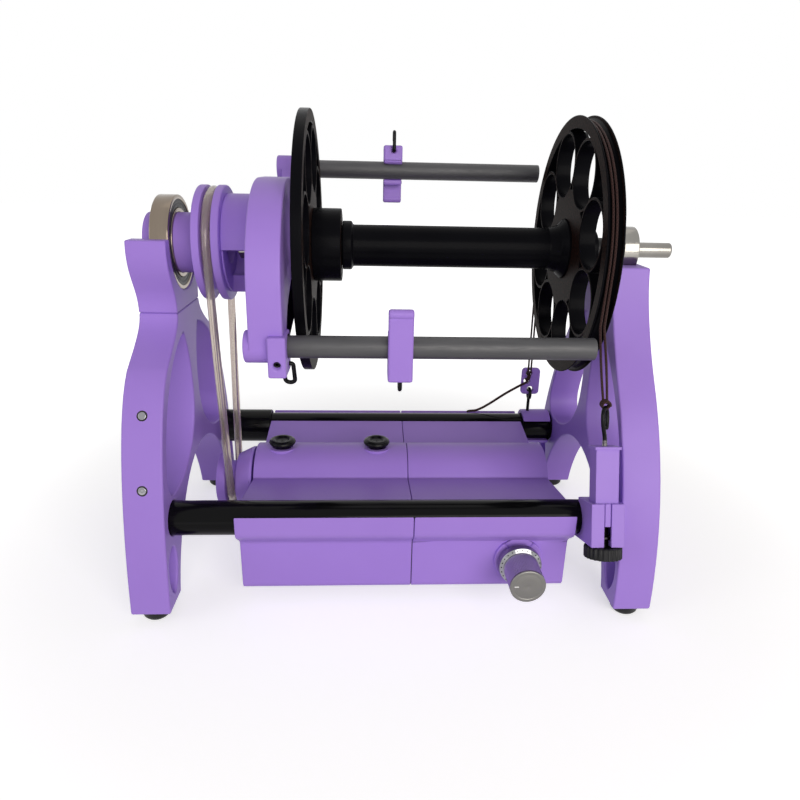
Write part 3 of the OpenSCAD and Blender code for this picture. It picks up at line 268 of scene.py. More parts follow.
# Drawn carbon tube: dull dark grey with fibre streaks along it and a mottled sanded skin
carbon = grainedSurface("drawnCarbonTube", {
    "tones": ("#37373A", "#515154"), "cloudMm": 3, "rough": (0.38, 0.56), "grainMm": 0.7, "bump": 0.25,
    "stretch": (0.12, 1, 1)}, {"IOR": 1.5})[0]
# Black tube, extruded: smooth and rather glossy, with long draw marks
rodBlack = grainedSurface("extrudedBlackTube", {
    "tones": ("#070708", "#0C0C0E"), "cloudMm": 12, "rough": (0.11, 0.19), "grainMm": 1.2, "bump": 0.05,
    "stretch": (0.04, 1, 1)}, {"IOR": 1.25, "Specular IOR Level": 0.3})[0]
# Moulded black plastic: fine spark-eroded grain
mouldedBlack = grainedSurface("mouldedBlackPlastic", {
    "tones": ("#101012", "#1B1B1E"), "cloudMm": 8, "rough": (0.36, 0.5), "grainMm": 0.5, "bump": 0.2},
    {"IOR": 1.5, "Specular IOR Level": 0.22})[0]
# Wire with a dipped vinyl skin: glossy, slightly uneven
vinyl = grainedSurface("dippedVinylWire", {
    "tones": ("#08080A", "#121214"), "cloudMm": 6, "rough": (0.16, 0.3), "grainMm": 1.8, "bump": 0.2},
    {"IOR": 1.25, "Specular IOR Level": 0.4})[0]
# Moulded rubber: dull and soft
rubber = grainedSurface("mouldedRubber", {
    "tones": ("#111112", "#1A1A1B"), "cloudMm": 6, "rough": (0.3, 0.5), "grainMm": 0.7, "bump": 0.15},
    {"IOR": 1.52, "Specular IOR Level": 0.25})[0]
# Ground bearing steel: brownish grey, with fine grinding lines round the ring. The brown tint and the dark tone are a
# painted reflection of dark, warm surroundings.
warmReflectionSteel = grainedSurface("bearingSteelPaintedWarmReflection", {
    "tones": ("#73675C", "#8F8376"), "cloudMm": 14, "rough": (0.12, 0.24), "grainMm": 0.6, "bump": 0.06,
    "stretch": (1, 0.06, 0.06)}, metal)[0]
# Turned shaft steel: polished with faint lathe lines
shaftSteel = grainedSurface("turnedShaftSteel", {
    "tones": ("#807D78", "#989590"), "cloudMm": 10, "rough": (0.12, 0.22), "grainMm": 0.5, "bump": 0.06,
    "stretch": (1, 0.1, 0.1)}, metal)[0]
# Plated steel: mirror bright with light handling haze
plated = grainedSurface("platedSteel", {
    "tones": ("#8A8A8E", "#A0A0A4"), "cloudMm": 9, "rough": (0.08, 0.18), "grainMm": 1.1, "bump": 0.03}, metal)[0]
# Satin plate over a knurl: a soft sheen that takes the colour of what stands near
satinPlate = grainedSurface("satinPlatedKnurl", {
    "tones": ("#BAB8BE", "#CCCAD0"), "cloudMm": 5, "rough": (0.3, 0.42), "grainMm": 0.4, "bump": 0.05}, metal)[0]
# Blackened screw steel: dark and half dull
blackSteel = grainedSurface("blackenedScrewSteel", {
    "tones": ("#2B2A2A", "#3A3938"), "cloudMm": 4, "rough": (0.28, 0.42), "grainMm": 0.5, "bump": 0.15}, metal)[0]
# Rolled zinc-plated can of a motor or a switch: pale grey and cloudy
zinc = grainedSurface("zincPlatedCan", {
    "tones": ("#8F9093", "#A6A7A9"), "cloudMm": 9, "rough": (0.25, 0.4), "grainMm": 0.6, "bump": 0.1}, metal)[0]
# Sintered bronze: open-grained, dull gold
bronze = grainedSurface("sinteredBronze", {
    "tones": ("#8A6A3C", "#A5834E"), "cloudMm": 3, "rough": (0.35, 0.55), "grainMm": 0.4, "bump": 0.3}, metal)[0]
# Circuit board under green solder mask: a smooth, wet-looking skin
boardGreen = grainedSurface("solderMaskedBoard", {
    "tones": ("#12502F", "#1B633B"), "cloudMm": 10, "rough": (0.3, 0.42), "grainMm": 0.8, "bump": 0.1},
    {"IOR": 1.5})[0]
# White paint in an engraved mark: flat and even
markPaint = grainedSurface("engravedMarkPaint", {
    "tones": ("#E6E6E4", "#F2F2F0"), "cloudMm": 2, "rough": (0.4, 0.55), "grainMm": 0.3, "bump": 0.1},
    {"IOR": 1.5})[0]
# Extruded clear polyurethane: cloudy, soft-looking, lets light through
beltClear = grainedSurface("clearPolyurethane", {
    "tones": ("#BDB0A6", "#CCC1B9"), "cloudMm": 40, "rough": (0.14, 0.2), "grainMm": 6, "bump": 0.02},
    {"IOR": 1.5, "Transmission Weight": 0.8})[0]
cordBrown = braidedCord(cordSettings)
print("materials made")


# Meshes from arrays
# A list of (points, faces, uv) becomes one piece. Faces are rows of indices, uv has one row per point.
def addPiece(name, shapes, material, body, replaced=(), smoothDeg=38):
    verts, loops, sizes, uvs, base = [], [], [], [], 0
    for points, faceRows, uv in shapes:
        points = np.asarray(points, float).reshape(-1, 3)
        for rows in faceRows:
            rows = np.atleast_2d(rows)
            loops.append((rows + base).ravel())
            sizes.append(np.full(len(rows), rows.shape[1]))
            uvs.append(uv[rows.ravel()])
        verts.append(points)
        base += len(points)
    verts = np.concatenate(verts) * mm
    loops, sizes, uvs = np.concatenate(loops), np.concatenate(sizes), np.concatenate(uvs)
    mesh = bpy.data.meshes.new(name)
    mesh.vertices.add(len(verts))
    mesh.vertices.foreach_set("co", verts.astype(np.float32).ravel())
    mesh.loops.add(len(loops))
    mesh.loops.foreach_set("vertex_index", loops.astype(np.int32))
    mesh.polygons.add(len(sizes))
    mesh.polygons.foreach_set("loop_start", np.concatenate(([0], np.cumsum(sizes)[:-1])).astype(np.int32))
    mesh.polygons.foreach_set("loop_total", sizes.astype(np.int32))
    mesh.update(calc_edges=True)
    mesh.uv_layers.new(name="along").data.foreach_set("uv", uvs.astype(np.float32).ravel())
    work = bmesh.new()
    work.from_mesh(mesh)
    bmesh.ops.remove_doubles(work, verts=work.verts, dist=1e-6)  # closes seams and poles
    bmesh.ops.dissolve_degenerate(work, edges=work.edges, dist=1e-7)
    bmesh.ops.recalc_face_normals(work, faces=work.faces)
    work.to_mesh(mesh)
    work.free()
    mesh.shade_smooth()
    mesh.set_sharp_from_angle(angle=math.radians(smoothDeg))
    return dress(bpy.data.objects.new(name, mesh), material, body, replaced)


# A piece gets its material, the body that it rides, its slot and the CAD nodes that it stands in for
def dress(piece, material, body, replaced):
    piece.data.materials.clear()
    piece.data.materials.append(material)
    bpy.context.scene.collection.objects.link(piece)
    if body:
        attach(piece, body)
    if replaced:
        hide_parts(*replaced)
    return piece


# Quads between the rows and columns of a grid of points, closed round either way
def gridFaces(rows, columns, closeRows, closeColumns):
    r = np.arange(rows if closeRows else rows - 1)[:, None]
    c = np.arange(columns if closeColumns else columns - 1)[None, :]
    r1, c1 = (r + 1) % rows, (c + 1) % columns
    return np.stack([r * columns + c, r * columns + c1, r1 * columns + c1, r1 * columns + c], -1).reshape(-1, 4)


# Corners of an outline turned into curves: each is a parabola from one side to the other, cut back by the fillet, but
# by no more than 0.48 of the shorter side
def rounded(corners, fillet, steps=4):
    p = np.array([c[:2] for c in corners], float)
    radius = np.array([c[2] if len(c) > 2 else fillet for c in corners], float)
    before, after = np.roll(p, 1, 0) - p, np.roll(p, -1, 0) - p
    lengthB, lengthA = np.linalg.norm(before, axis=1), np.linalg.norm(after, axis=1)
    before, after = before / lengthB[:, None], after / lengthA[:, None]
    half = 0.5 * np.arccos(np.clip((before * after).sum(1), -1, 1))
    cut = np.minimum(radius / np.tan(half), 0.48 * np.minimum(lengthA, lengthB))[:, None, None]
    t = np.linspace(0, 1, steps + 1)[None, :, None]
    start, end = p[:, None] + before[:, None] * cut, p[:, None] + after[:, None] * cut
    return (start * (1 - t) ** 2 + 2 * p[:, None] * t * (1 - t) + end * t ** 2).reshape(-1, 2)


# A turned shape: every point of the closed profile (radius, place along the axis) goes round the axis
def turned(profile, centre, along=unitX, steps=128):
    profile = np.asarray(profile, float)
    across = np.cross(along, unitZ if abs(along[2]) < 0.9 else unitX)
    across /= np.linalg.norm(across)
    other = np.cross(along, across)
    angle = np.linspace(0, turn, steps, endpoint=False)
    ring = np.cos(angle)[:, None] * across + np.sin(angle)[:, None] * other
    points = centre + profile[None, :, 1, None] * along + profile[None, :, 0, None] * ring[:, None, :]
    uv = np.stack(np.broadcast_arrays(angle[:, None] / turn, profile[None, :, 1]), -1).reshape(-1, 2)
    return points.reshape(-1, 3), [gridFaces(steps, len(profile), True, True)], uv


# A ring between two places along the axis, with rounded edges
def ringProfile(outer, inner, start, end, edge):
    return rounded([(inner, start), (outer, start), (outer, end), (inner, end)], edge)


# A tube along a path: circles of the given radii stand square to it
def tube(path, radii, sides=14, closed=False, side=None):
    path = np.asarray(path, float)
    radii = np.broadcast_to(np.asarray(radii, float), len(path))
    ahead = np.roll(path, -1, 0) - np.roll(path, 1, 0) if closed else np.gradient(path, axis=0)
    ahead /= np.linalg.norm(ahead, axis=1)[:, None]
    across = np.cross(ahead, unitX if side is None else side)
    across /= np.linalg.norm(across, axis=1)[:, None]
    other = np.cross(ahead, across)
    angle = np.linspace(0, turn, sides, endpoint=False)
    ring = np.cos(angle)[None, :, None] * across[:, None] + np.sin(angle)[None, :, None] * other[:, None]
    points = path[:, None] + radii[:, None, None] * ring
    gone = np.concatenate(([0], np.cumsum(np.linalg.norm(np.diff(path, axis=0), axis=1))))
    uv = np.stack(np.broadcast_arrays(angle[None, :] / turn, gone[:, None]), -1).reshape(-1, 2)
    faces = [gridFaces(len(path), sides, closed, True)]
    if not closed:
        faces += [np.arange(sides), np.arange(sides) + (len(path) - 1) * sides]
    return points.reshape(-1, 3), faces, uv


# A tube with domed ends: the radius falls to nothing over the last half circle of the dome
def domedTube(path, radius, sides=14, side=None, rings=5):
    path = np.asarray(path, float)
    a = np.linspace(math.pi / 2, 0, rings, endpoint=False)[:, None]
    first, last = path[0] - path[1], path[-1] - path[-2]
    first, last = first / np.linalg.norm(first), last / np.linalg.norm(last)
    start, end = path[0] + np.sin(a) * radius * first, path[-1] + np.sin(a)[::-1] * radius * last
    shrink = np.maximum(np.cos(a[:, 0]), 0.02) * radius
    radii = np.concatenate((shrink, np.full(len(path), radius), shrink[::-1]))
    return tube(np.concatenate((start, path, end)), radii, sides, False, side)


# A smooth curve through given points, each stretch a cubic that leaves a point towards its neighbours
def smoothPath(points, steps=8):
    p = np.asarray(points, float)
    p = np.concatenate(([2 * p[0] - p[1]], p, [2 * p[-1] - p[-2]]))
    t = np.linspace(0, 1, steps, endpoint=False)[None, :, None]
    a, b, c, d = (p[k:len(p) - 3 + k][:, None] for k in range(4))
    curve = 0.5 * (2 * b + (c - a) * t + (2 * a - 5 * b + 4 * c - d) * t ** 2 + (3 * b - a - 3 * c + d) * t ** 3)
    return np.concatenate((curve.reshape(-1, 3), p[-2:-1]))


# An arc in the plane of two directions, angles in degrees
def arcPath(centre, radius, start, end, first, second, steps=24):
    a = np.radians(np.linspace(start, end, steps))[:, None]
    return np.asarray(centre) + radius * (np.cos(a) * first + np.sin(a) * second)


# Places in the CAD's own numbers, before it was centred and lifted onto its feet
axisHeight = 170.5
middle = axisAt - (0, 0, axisHeight)


def place(x, y, z):
    return middle + (x, y, z)


# One attribute of all elements of a mesh, as rows of the given width
def readArray(collection, key, width, kind):
    values = np.empty(len(collection) * width, kind)
    collection.foreach_get(key, values)
    return values.reshape(-1, width)


# How much of the full width each edge of a mesh is eased by: none in a hollow corner or where its two faces meet at
# less than edgeDeg, and less than all where an edge that leaves it across a face is too short for the full width.
# A corner is hollow where the second face rises above the first. Hollow corners stay crisp.
def easeShares(mesh, width, s):
    ends = readArray(mesh.edges, "vertices", 2, np.int32)
    points = readArray(mesh.vertices, "co", 3, np.float32)
    length = np.linalg.norm(points[ends[:, 1]] - points[ends[:, 0]], axis=1)
    edgeOfLoop = readArray(mesh.loops, "edge_index", 1, np.int32)[:, 0]
    pointOfLoop = readArray(mesh.loops, "vertex_index", 1, np.int32)[:, 0]
    corners = readArray(mesh.polygons, "loop_total", 1, np.int32)[:, 0]
    normal = np.repeat(readArray(mesh.polygons, "normal", 3, np.float32), corners, axis=0)
    last = np.cumsum(corners) - 1
    following = np.arange(len(pointOfLoop)) + 1
    following[last] = last - corners + 1
    ahead = points[pointOfLoop[following]] - points[pointOfLoop]
    order = np.argsort(edgeOfLoop, kind="stable")
    sides = np.bincount(edgeOfLoop, minlength=len(ends))
    start = np.cumsum(sides) - sides
    pair = sides == 2
    one, two = order[start[pair]], order[start[pair] + 1]
    sharp, hollow = np.zeros(len(ends), bool), np.zeros(len(ends), bool)
    sharp[pair] = (normal[one] * normal[two]).sum(1) < math.cos(math.radians(s["edgeDeg"]))
    hollow[pair] = (np.cross(normal[two], ahead[two]) * normal[one]).sum(1) > 0
    room = np.ones(len(points))
    np.minimum.at(room, ends[~sharp].ravel(), np.repeat(length[~sharp], 2))
    share = np.where(sharp & ~hollow, np.minimum(1, s["room"] * room[ends].min(1) / (width * mm)), 0)
    return share.astype(np.float32), sharp & hollow


# A copy of a CAD node with its edges eased by the given width. Points closer than mergeMm become one, and faces that
# meet at less than mergeDeg become one. reshape, if there is one, changes the points and triangles first.
easeSettings = {"mergeMm": 0.015, "sliverMm": 0.005, "mergeDeg": 0.6, "edgeDeg": 30, "room": 0.45, "segments": 3}


def softened(node, width, material, reshape=None):
    s = easeSettings
    mesh = nodes[node].data.copy()
    mesh.name = node + "Eased"
    work = bmesh.new()
    work.from_mesh(mesh)
    bmesh.ops.remove_doubles(work, verts=work.verts, dist=s["mergeMm"] * mm)
    if reshape:
        work.to_mesh(mesh)
        mesh.calc_loop_triangles()
        points, faces = reshape(readArray(mesh.vertices, "co", 3, np.float32) / mm,
                                readArray(mesh.loop_triangles, "vertices", 3, np.int32))
        used, faces = np.unique(faces, return_inverse=True)
        mesh.clear_geometry()
        mesh.from_pydata(points[used] * mm, [], faces.reshape(-1, 3))
        work.clear()
        work.from_mesh(mesh)
        bmesh.ops.dissolve_degenerate(work, edges=work.edges, dist=s["sliverMm"] * mm)
    bmesh.ops.dissolve_limit(work, angle_limit=math.radians(s["mergeDeg"]), verts=work.verts, edges=work.edges)
    bmesh.ops.dissolve_degenerate(work, edges=work.edges, dist=1e-6)
    work.to_mesh(mesh)
    work.free()
    mesh.shade_smooth()
    shares, crisp = easeShares(mesh, width, s)
    mesh.attributes.new("bevel_weight_edge", "FLOAT", "EDGE").data.foreach_set("value", shares)
    mesh.attributes.new("sharp_edge", "BOOLEAN", "EDGE").data.foreach_set("value", crisp)
    piece = bpy.data.objects.new(node + "Eased", mesh)
    bevel = piece.modifiers.new("easedEdges", "BEVEL")
    bevel.width = width * mm
    bevel.segments = s["segments"]
    bevel.limit_method = "WEIGHT"
    bevel.use_clamp_overlap = False
    bevel.loop_slide = False
    bevel.miter_outer = "MITER_ARC"
    normals = piece.modifiers.new("flatFaces", "WEIGHTED_NORMAL")
    normals.keep_sharp = True
    return dress(piece, material, bodyOf[node], (node,))


# Lip of the trays: the round nose over each rod gets a straight front, an ogee that leads back to the wall below it
# and a brim that slopes in to the rod. Depth from the middle of the machine = wall + (front - wall) * smooth step of
# the height between low and high. Points of the rod's seat above the brim's angle slide down to it.
lipSizes = {
    "rod": (60, 45), "nose": 10.5, "wall": 62, "front": 71.65, "low": 30.7, "high": 42.0, "crest": 50.9, "top": 51.6,
    "seat": 8.65, "brimDeg": 14, "slack": 0.2, "skin": 0.02,
}


def straightLip(points, triangles):
    s = lipSizes
    x, y, z = (points - middle).T
    depth = np.abs(y)
    away = np.hypot(depth - s["rod"][0], z - s["rod"][1])
    angle = np.arctan2(z - s["rod"][1], depth - s["rod"][0])
    brim = math.radians(s["brimDeg"])
    seat = (away < s["seat"] + s["slack"]) & (angle > brim) & (angle < turn / 4)
    nose = (depth > s["wall"] - s["skin"]) & (z > s["low"]) & (away > s["nose"])
    u = np.clip((z - s["low"]) / (s["high"] - s["low"]), 0, 1)
    depth = np.where(nose, s["wall"] + (s["front"] - s["wall"]) * u * u * (3 - 2 * u), depth)
    depth = np.where(seat, s["rod"][0] + s["seat"] * math.cos(brim), depth)
    z = np.where(nose & (z > s["crest"]), s["top"], z)
    z = np.where(seat, s["rod"][1] + s["seat"] * math.sin(brim), z)
    return np.stack([x, np.sign(y) * depth, z], 1) + middle, triangles


# Front edge of the drive-side upright, between the heights low and high: the points within band of a straight guide
# line, and those of them on the outer and on the inner face, from the bottom up
edgeSizes = {"foot": (-71.3, 64), "rise": 0.36, "band": 3.4, "low": 50, "high": 108, "skin": 0.01}


def frontEdge(points):
    s = edgeSizes
    x, y, z = (points - middle).T
    near = np.abs(y - s["foot"][0] - s["rise"] * (z - s["foot"][1])) < s["band"]
    near &= (z > s["low"]) & (z < s["high"])
    outer = np.flatnonzero(near & (x < x.min() + s["skin"]))
    inner = np.flatnonzero(near & (x > x.max() - s["skin"]))
    return near, outer[np.argsort(z[outer])], inner[np.argsort(z[inner])]


# The edge is faced again as a plain strip, which leaves it whole round the magnets
def wholeEdge(points, triangles):
    near, outer, inner = frontEdge(points)
    onFace = np.zeros(len(points), int)
    onFace[outer], onFace[inner] = 1, 2
    kinds = onFace[triangles]
    strip = near[triangles].all(1) & ~(kinds == 1).all(1) & ~(kinds == 2).all(1)
    lower = np.stack([outer[:-1], inner[:-1], inner[1:]], 1)
    upper = np.stack([outer[:-1], inner[1:], outer[1:]], 1)
    return points, np.concatenate((triangles[~strip], lower, upper))


# The CAD solids whose shape stays, with eased edges: name, width of the edge, material
easedNodes = [
    ("left_upright", 1.0, violet), ("right_upright", 1.0, violet), ("bearing_cradle", 0.8, violet),
    ("motor_tray", 0.5, violet), ("control_tray", 0.5, violet), ("motor_cover", 0.35, violet),
    ("control_cover", 0.35, violet), ("flyer_yoke", 0.9, violet), ("flyer_hub", 0.5, violet),
    ("tension_bracket", 0.4, violet), ("tension_slider", 0.35, violet), ("anchor_clip", 0.5, violet),
    ("cord_toggle", 0.7, violet), ("front_hook_clip", 1.1, violet), ("rear_hook_clip", 1.1, violet),
    ("bobbin_front_flange", 0.35, bobbinBlack), ("bobbin_brake_flange", 0.35, bobbinBlack),
    ("rubber_feet", 0.5, rubber), ("rod_screws", 0.3, blackSteel), ("shaft_nut", 0.4, shaftSteel),
    ("power_inlet", 0.25, mouldedBlack), ("switch_body", 0.25, zinc),
]
reshapes = {"motor_tray": straightLip, "control_tray": straightLip, "left_upright": wholeEdge}
for node, width, material in easedNodes:
    softened(node, width, material, reshapes.get(node))


# Tool magnets: discs square to the upright's front edge, each in a dark ring
magnetSizes = {
    "heights": (65.4, 98.4), "disc": [(0, -3), (1.85, -3), (1.85, 0.3, 0.25), (0, 0.3)],
    "ring": [(1.85, -3), (2.5, -3), (2.5, 0.06), (1.85, 0.06)],
}


def toolMagnets(s):
    points = readArray(nodes["left_upright"].data.vertices, "co", 3, np.float32) / mm
    outer = frontEdge(points)[1]
    heights, depths = points[outer, 2] - middle[2], points[outer, 1] - middle[1]
    acrossEdge = (points[:, 0].min() + points[:, 0].max()) / 2 - middle[0]
    discs, rings = [], []
    for height in s["heights"]:
        depth, above = np.interp((height, height + 1), heights, depths)
        out = np.array([0, -1, above - depth]) / math.hypot(1, above - depth)
        spot = place(acrossEdge, depth, height)
        discs.append(turned(rounded(s["disc"], 0.05), spot, out, 64))
        rings.append(turned(rounded(s["ring"], 0.03), spot, out, 64))
    addPiece("toolMagnets", discs, plated, "root", ("tool_magnets",))
    addPiece("magnetRings", rings, blackSteel, "root")


toolMagnets(magnetSizes)
print("eased pieces made")

# Closed-in solids keep their own meshes
for node, material in (("motor_can", zinc), ("circuit_board", boardGreen), ("speed_pot", zinc),
                       ("bearing_balls", warmReflectionSteel), ("motor_shaft", shaftSteel), ("bobbin_bushes", bronze)):
    nodes[node].data.materials.clear()
    nodes[node].data.materials.append(material)


# The tensioner leans back over the front rod, so its pieces are placed along and across its own axis. The thumb screw
# and the brake hook share a line in front of the rod.
leanAcross = np.array([0, slideAxis[2], -slideAxis[1]])
rodPlace = place(99.6, -60, 45)
screwLine = -15.9


def onBracket(x, y, z):
    return rodPlace + x * unitX + y * leanAcross + z * slideAxis


# The flyer's arms are tilted round the axis; side -1 is the front arm. Points count from the middle of an arm and
# turn by the tilt, with half a turn more on the rear arm.
armTilt, armRadius = math.radians(28.9), 75.4


def onArm(side, points, tilt=armTilt, radius=armRadius):
    points = np.asarray(points, float)
    a = tilt if side < 0 else tilt + math.pi
    y, z = points[:, 1] - radius, points[:, 2]
    return axisAt + np.stack([points[:, 0], y * math.cos(a) - z * math.sin(a), y * math.sin(a) + z * math.cos(a)], 1)


# Set screws that hold the arms: cup-ended screws a little below the mouths of their holes
setScrewSizes = {
    "x": -52.95, "profile": [(0, -9.0), (0.8, -9.0), (0.8, -11.3, 0.1), (1.5, -11.6, 0.2), (1.5, -5.0), (0, -5.0)],
}
armScrews = []
for side in (-1, 1):
    hole, inward = onArm(side, [(setScrewSizes["x"], 0, 0), (setScrewSizes["x"], 1, 0)])
    armScrews.append(turned(rounded(setScrewSizes["profile"], 0.05), hole, inward - hole, 48))
addPiece("armSetScrews", armScrews, blackSteel, "flyer", ("arm_set_screws",))


# Brake cord: two strands over the flange, the front strands, and the free end
cordSizes = {
    "radius": 0.6, "tailRadius": 0.8, "pair": 0.9, "flangeX": 92.0, "wrapRadius": 62.08, "rearTouch": -2.918,
    "frontTouch": 183.767, "rearGrip": (57.7, -87.5), "knee": (-60.368, -28.026), "knot": (-57.879, -65.844),
    "hookX": 99.6, "knotTurns": 2.6, "knotRadius": 1.85, "knotPitch": 1.25, "knotWire": 0.62, "loopPair": 0.55,
    "gripBend": [(4.8, 0), (3.4, 0), (1.6, 0.1), (0.4, 0.9), (0.15, 2.6)],
    "toggleTurn": [(92.0, 61.6, 82.0), (92.0, 59.4, 81.9), (92.0, 58.0, 81.4), (91.8, 57.5, 80.3), (91.5, 57.5, 79.7),
                   (91.2, 58.0, 78.9), (91.0, 59.4, 78.6), (91.0, 61.4, 78.5)],
    "tailRoute": [
        (91, 60, 78), (91, 57.5, 78), (89.5, 55.4, 77.6), (87, 55, 76.4), (84, 56, 74.2), (81, 57.6, 71.6),
        (77.5, 59.6, 68.4), (74, 61.5, 65), (70.5, 63.2, 61.6), (67, 64.8, 58.4), (63.5, 66.2, 55.6),
        (60, 67.6, 53.4), (57, 69.4, 52.3), (55, 71.2, 51.2), (53.8, 72.6, 48.6), (53.2, 73, 45),
        (52.8, 73, 41.5), (52.4, 73, 38), (52, 73, 34.5)],
}


def brakeCordTail(s):
    path = smoothPath(s["tailRoute"], 6) + middle
    piece = addPiece("brakeCordTail", [tube(path, s["tailRadius"], 12, side=(0.2, 0.1, 1.0))], cordBrown, "root",
                     ("brake_cord_tail",))
    a = np.linspace(0, turn, 72, endpoint=False)
    # A trefoil of the same cord: radius 1 + 0.5 cos 3a, two turns round the cord's end
    wide = 1.0 + 0.5 * np.cos(3 * a)
    knot = np.stack([wide * np.cos(2 * a), wide * np.sin(2 * a), 0.75 * np.sin(3 * a)], 1) + path[-1] + (0, 0.2, -0.4)
    stopper = addPiece("brakeCordStopper", [tube(knot, s["radius"], 10, True, (0.31, 0.23, 0.92))], cordBrown, "root")


brakeCordTail(cordSizes)


def brakeCordOver(s):
    strands = []
    for x in (s["flangeX"] - s["pair"], s["flangeX"] + s["pair"]):
        hub = axisAt + (x, 0, 0)
        a = np.radians(np.linspace(s["rearTouch"], s["frontTouch"], 120))[:, None]
        wrap = hub + s["wrapRadius"] * (np.cos(a) * unitY + np.sin(a) * unitZ)
        grip = hub + (0, *s["rearGrip"])
        bend = [grip + (0, y, z) for y, z in s["gripBend"]]
        rise = [grip + t * (wrap[0] - grip) for t in (0.1, 0.3, 0.6, 0.9)]
        path = np.concatenate((smoothPath([*bend, *rise], 6), wrap, [hub + (0, *s["knee"])]))
        strands.append(tube(path, s["radius"], 12))
    low = axisAt + (s["flangeX"] - 1, s["rearGrip"][0] + s["gripBend"][0][0], s["rearGrip"][1])
    back = smoothPath([low + (0.6, -0.6, 0.2), low + (0.4, 0.5, -1.0), low + (0.1, 0.75, -2.6),
                       low + (0, 0.2, -4.2), place(91, 60.6, 78), place(91, 59.2, 78)], 6)
    strands.append(tube(back, s["radius"], 12, side=(1, 0.2, 0)))
    # A doubled turn on the front of the toggle, from its top hole to the middle one
    for shift in (-s["loopPair"], s["loopPair"]):
        loop = smoothPath([place(x + shift, y, z) for x, y, z in s["toggleTurn"]], 6)
        strands.append(domedTube(loop, s["radius"], 12, (1, 0.3, 0)))
    addPiece("brakeCordOver", strands, cordBrown, "root", ("brake_cord",))


def brakeCordFront(s):
    knee, knot = axisAt + (s["flangeX"], *s["knee"]), axisAt + (s["hookX"], *s["knot"])
    strands = []
    for way in (-1, 1):
        t = np.linspace(0, 1, 40)[:, None]
        spread = way * (s["pair"] + 0.35 * np.sin(math.pi * t)) * unitX
        strands.append(tube(knee + t * (knot + 0.9 * unitY - knee) + spread, s["radius"], 12))
    piece = addPiece("brakeCordFront", strands, cordBrown, None, ("brake_cord_front",))
    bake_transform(piece)
    # The knot winds round the wire at the top of the hook: a helix of knotRadius that climbs knotPitch in a turn
    a = np.linspace(0, turn * s["knotTurns"], 96)[:, None]
    along = (a / turn - s["knotTurns"] / 2) * s["knotPitch"]
    coil = knot + (0, 0.2, -0.2) + s["knotRadius"] * (np.cos(a) * unitX + np.sin(a) * unitZ) + along * unitY
    addPiece("brakeCordKnot", [domedTube(coil, s["knotWire"], 12, (0.05, 1.0, 0.1))], cordBrown, "tension_slider")


brakeCordOver(cordSizes)
brakeCordFront(cordSizes)
print("cords made")


# Belt: round the whorl, down to the motor pulley and back, straight between the points where it leaves them
beltSizes = {"x": -91.4, "radius": 2.1, "top": 26.0, "low": 13.0}


def driveBelt(s):
    top, low = axisAt + (s["x"], 0, 0), motorAt * (0, 1, 1) + (axisAt[0] + s["x"], 0, 0)
    lean = math.degrees(math.asin((s["top"] - s["low"]) / (top[2] - low[2])))
    upper = arcPath(top, s["top"], -lean, 180 + lean, unitY, unitZ, 96)
    lower = arcPath(low, s["low"], 180 + lean, 360 - lean, unitY, unitZ, 64)
    t = np.linspace(0, 1, 60)[1:-1, None]
    down, up = upper[-1] + t * (lower[0] - upper[-1]), lower[-1] + t * (upper[0] - lower[-1])
    path = np.concatenate((upper, down, lower, up))
    addPiece("driveBelt", [tube(path, s["radius"], 24, True)], beltClear, "root", ("drive_belt",))


driveBelt(beltSizes)


# Turned pieces, most of them on the flyer's axis. Each profile is a list of (radius, x) corners in the CAD's own
# numbers, with a third number where a corner is rounder than the rest.
def turnedPiece(name, node, corners, fillet, material, centre=None, along=unitX, steps=160):
    centre = axisAt if centre is None else centre
    addPiece(name, [turned(rounded(corners, fillet), centre, along, steps)], material, bodyOf[node],
             (node,))


whorlFloor, pulleyFloor, beltX = 23.6, 10.6, beltSizes["x"]
turnedPiece("orificeTube", "orifice_tube", [
    (10, -124.8, 1.6), (15, -124.8, 1.0), (15, -84.8), (10, -84.8)], 0.2, violet)
turnedPiece("driveWhorl", "drive_whorl", [
    (15.05, -98), (28.5, -98, 0.9), (28.5, beltX - 2.8, 0.5), (whorlFloor, beltX - 2.4, 1.7),
    (whorlFloor, beltX + 2.4, 1.7), (28.5, beltX + 2.8, 0.5), (28.5, -84.8, 0.9), (15.05, -84.8)], 0.2, violet)
turnedPiece("motorPulley", "motor_pulley", [
    (2.55, -99.4), (15, -99.4, 1.0), (15, beltX - 3.0, 0.5), (pulleyFloor, beltX - 2.4, 1.7),
    (pulleyFloor, beltX + 2.4, 1.7), (15, beltX + 3.0, 0.6), (18.8, -80.5, 0.6), (18.8, -79, 0.5), (2.55, -79)],
    0.2, violet, motorAt * (0, 1, 1) + axisAt * (1, 0, 0))
turnedPiece("flyerShaft", "flyer_shaft", [(0, -81.2), (4, -81.2, 0.5), (4, 145.5, 1.1), (0, 145.5)], 0.2, shaftSteel)
turnedPiece("tailSpacer", "tail_spacer", [(4.05, 104.3), (6, 104.3), (6, 116.6), (4.05, 116.6)], 0.4, mouldedBlack)
turnedPiece("bobbinCore", "bobbin_core", [
    (5.5, -50), (12, -50, 0.8), (12, -47), (15, -47), (15, -42.2), (18.3, -42.2, 0.5), (18.3, -27.9, 0.7),
    (10.5, -27.9, 0.5), (10.5, -27.3, 0.2), (12.3, -27.3, 0.5), (12.3, -22.9, 1.0), (10.5, -21.9, 0.8),
    (10.5, 79, 4.0), (12, 84, 2.0), (15, 87, 0.4), (15, 96, 0.6), (10, 96, 0.4), (10, 104, 0.8), (5.5, 104)],
    0.2, bobbinBlack)
print("turned pieces made")


# Bearings: ground rings, and seals that lie inset between them, each with a moulded groove
bearingSizes = {
    "outerEdge": 0.55, "innerEdge": 0.4, "inset": 0.4, "thick": 0.8, "gap": 0.3, "groove": (0.35, 0.2, 0.25),
}


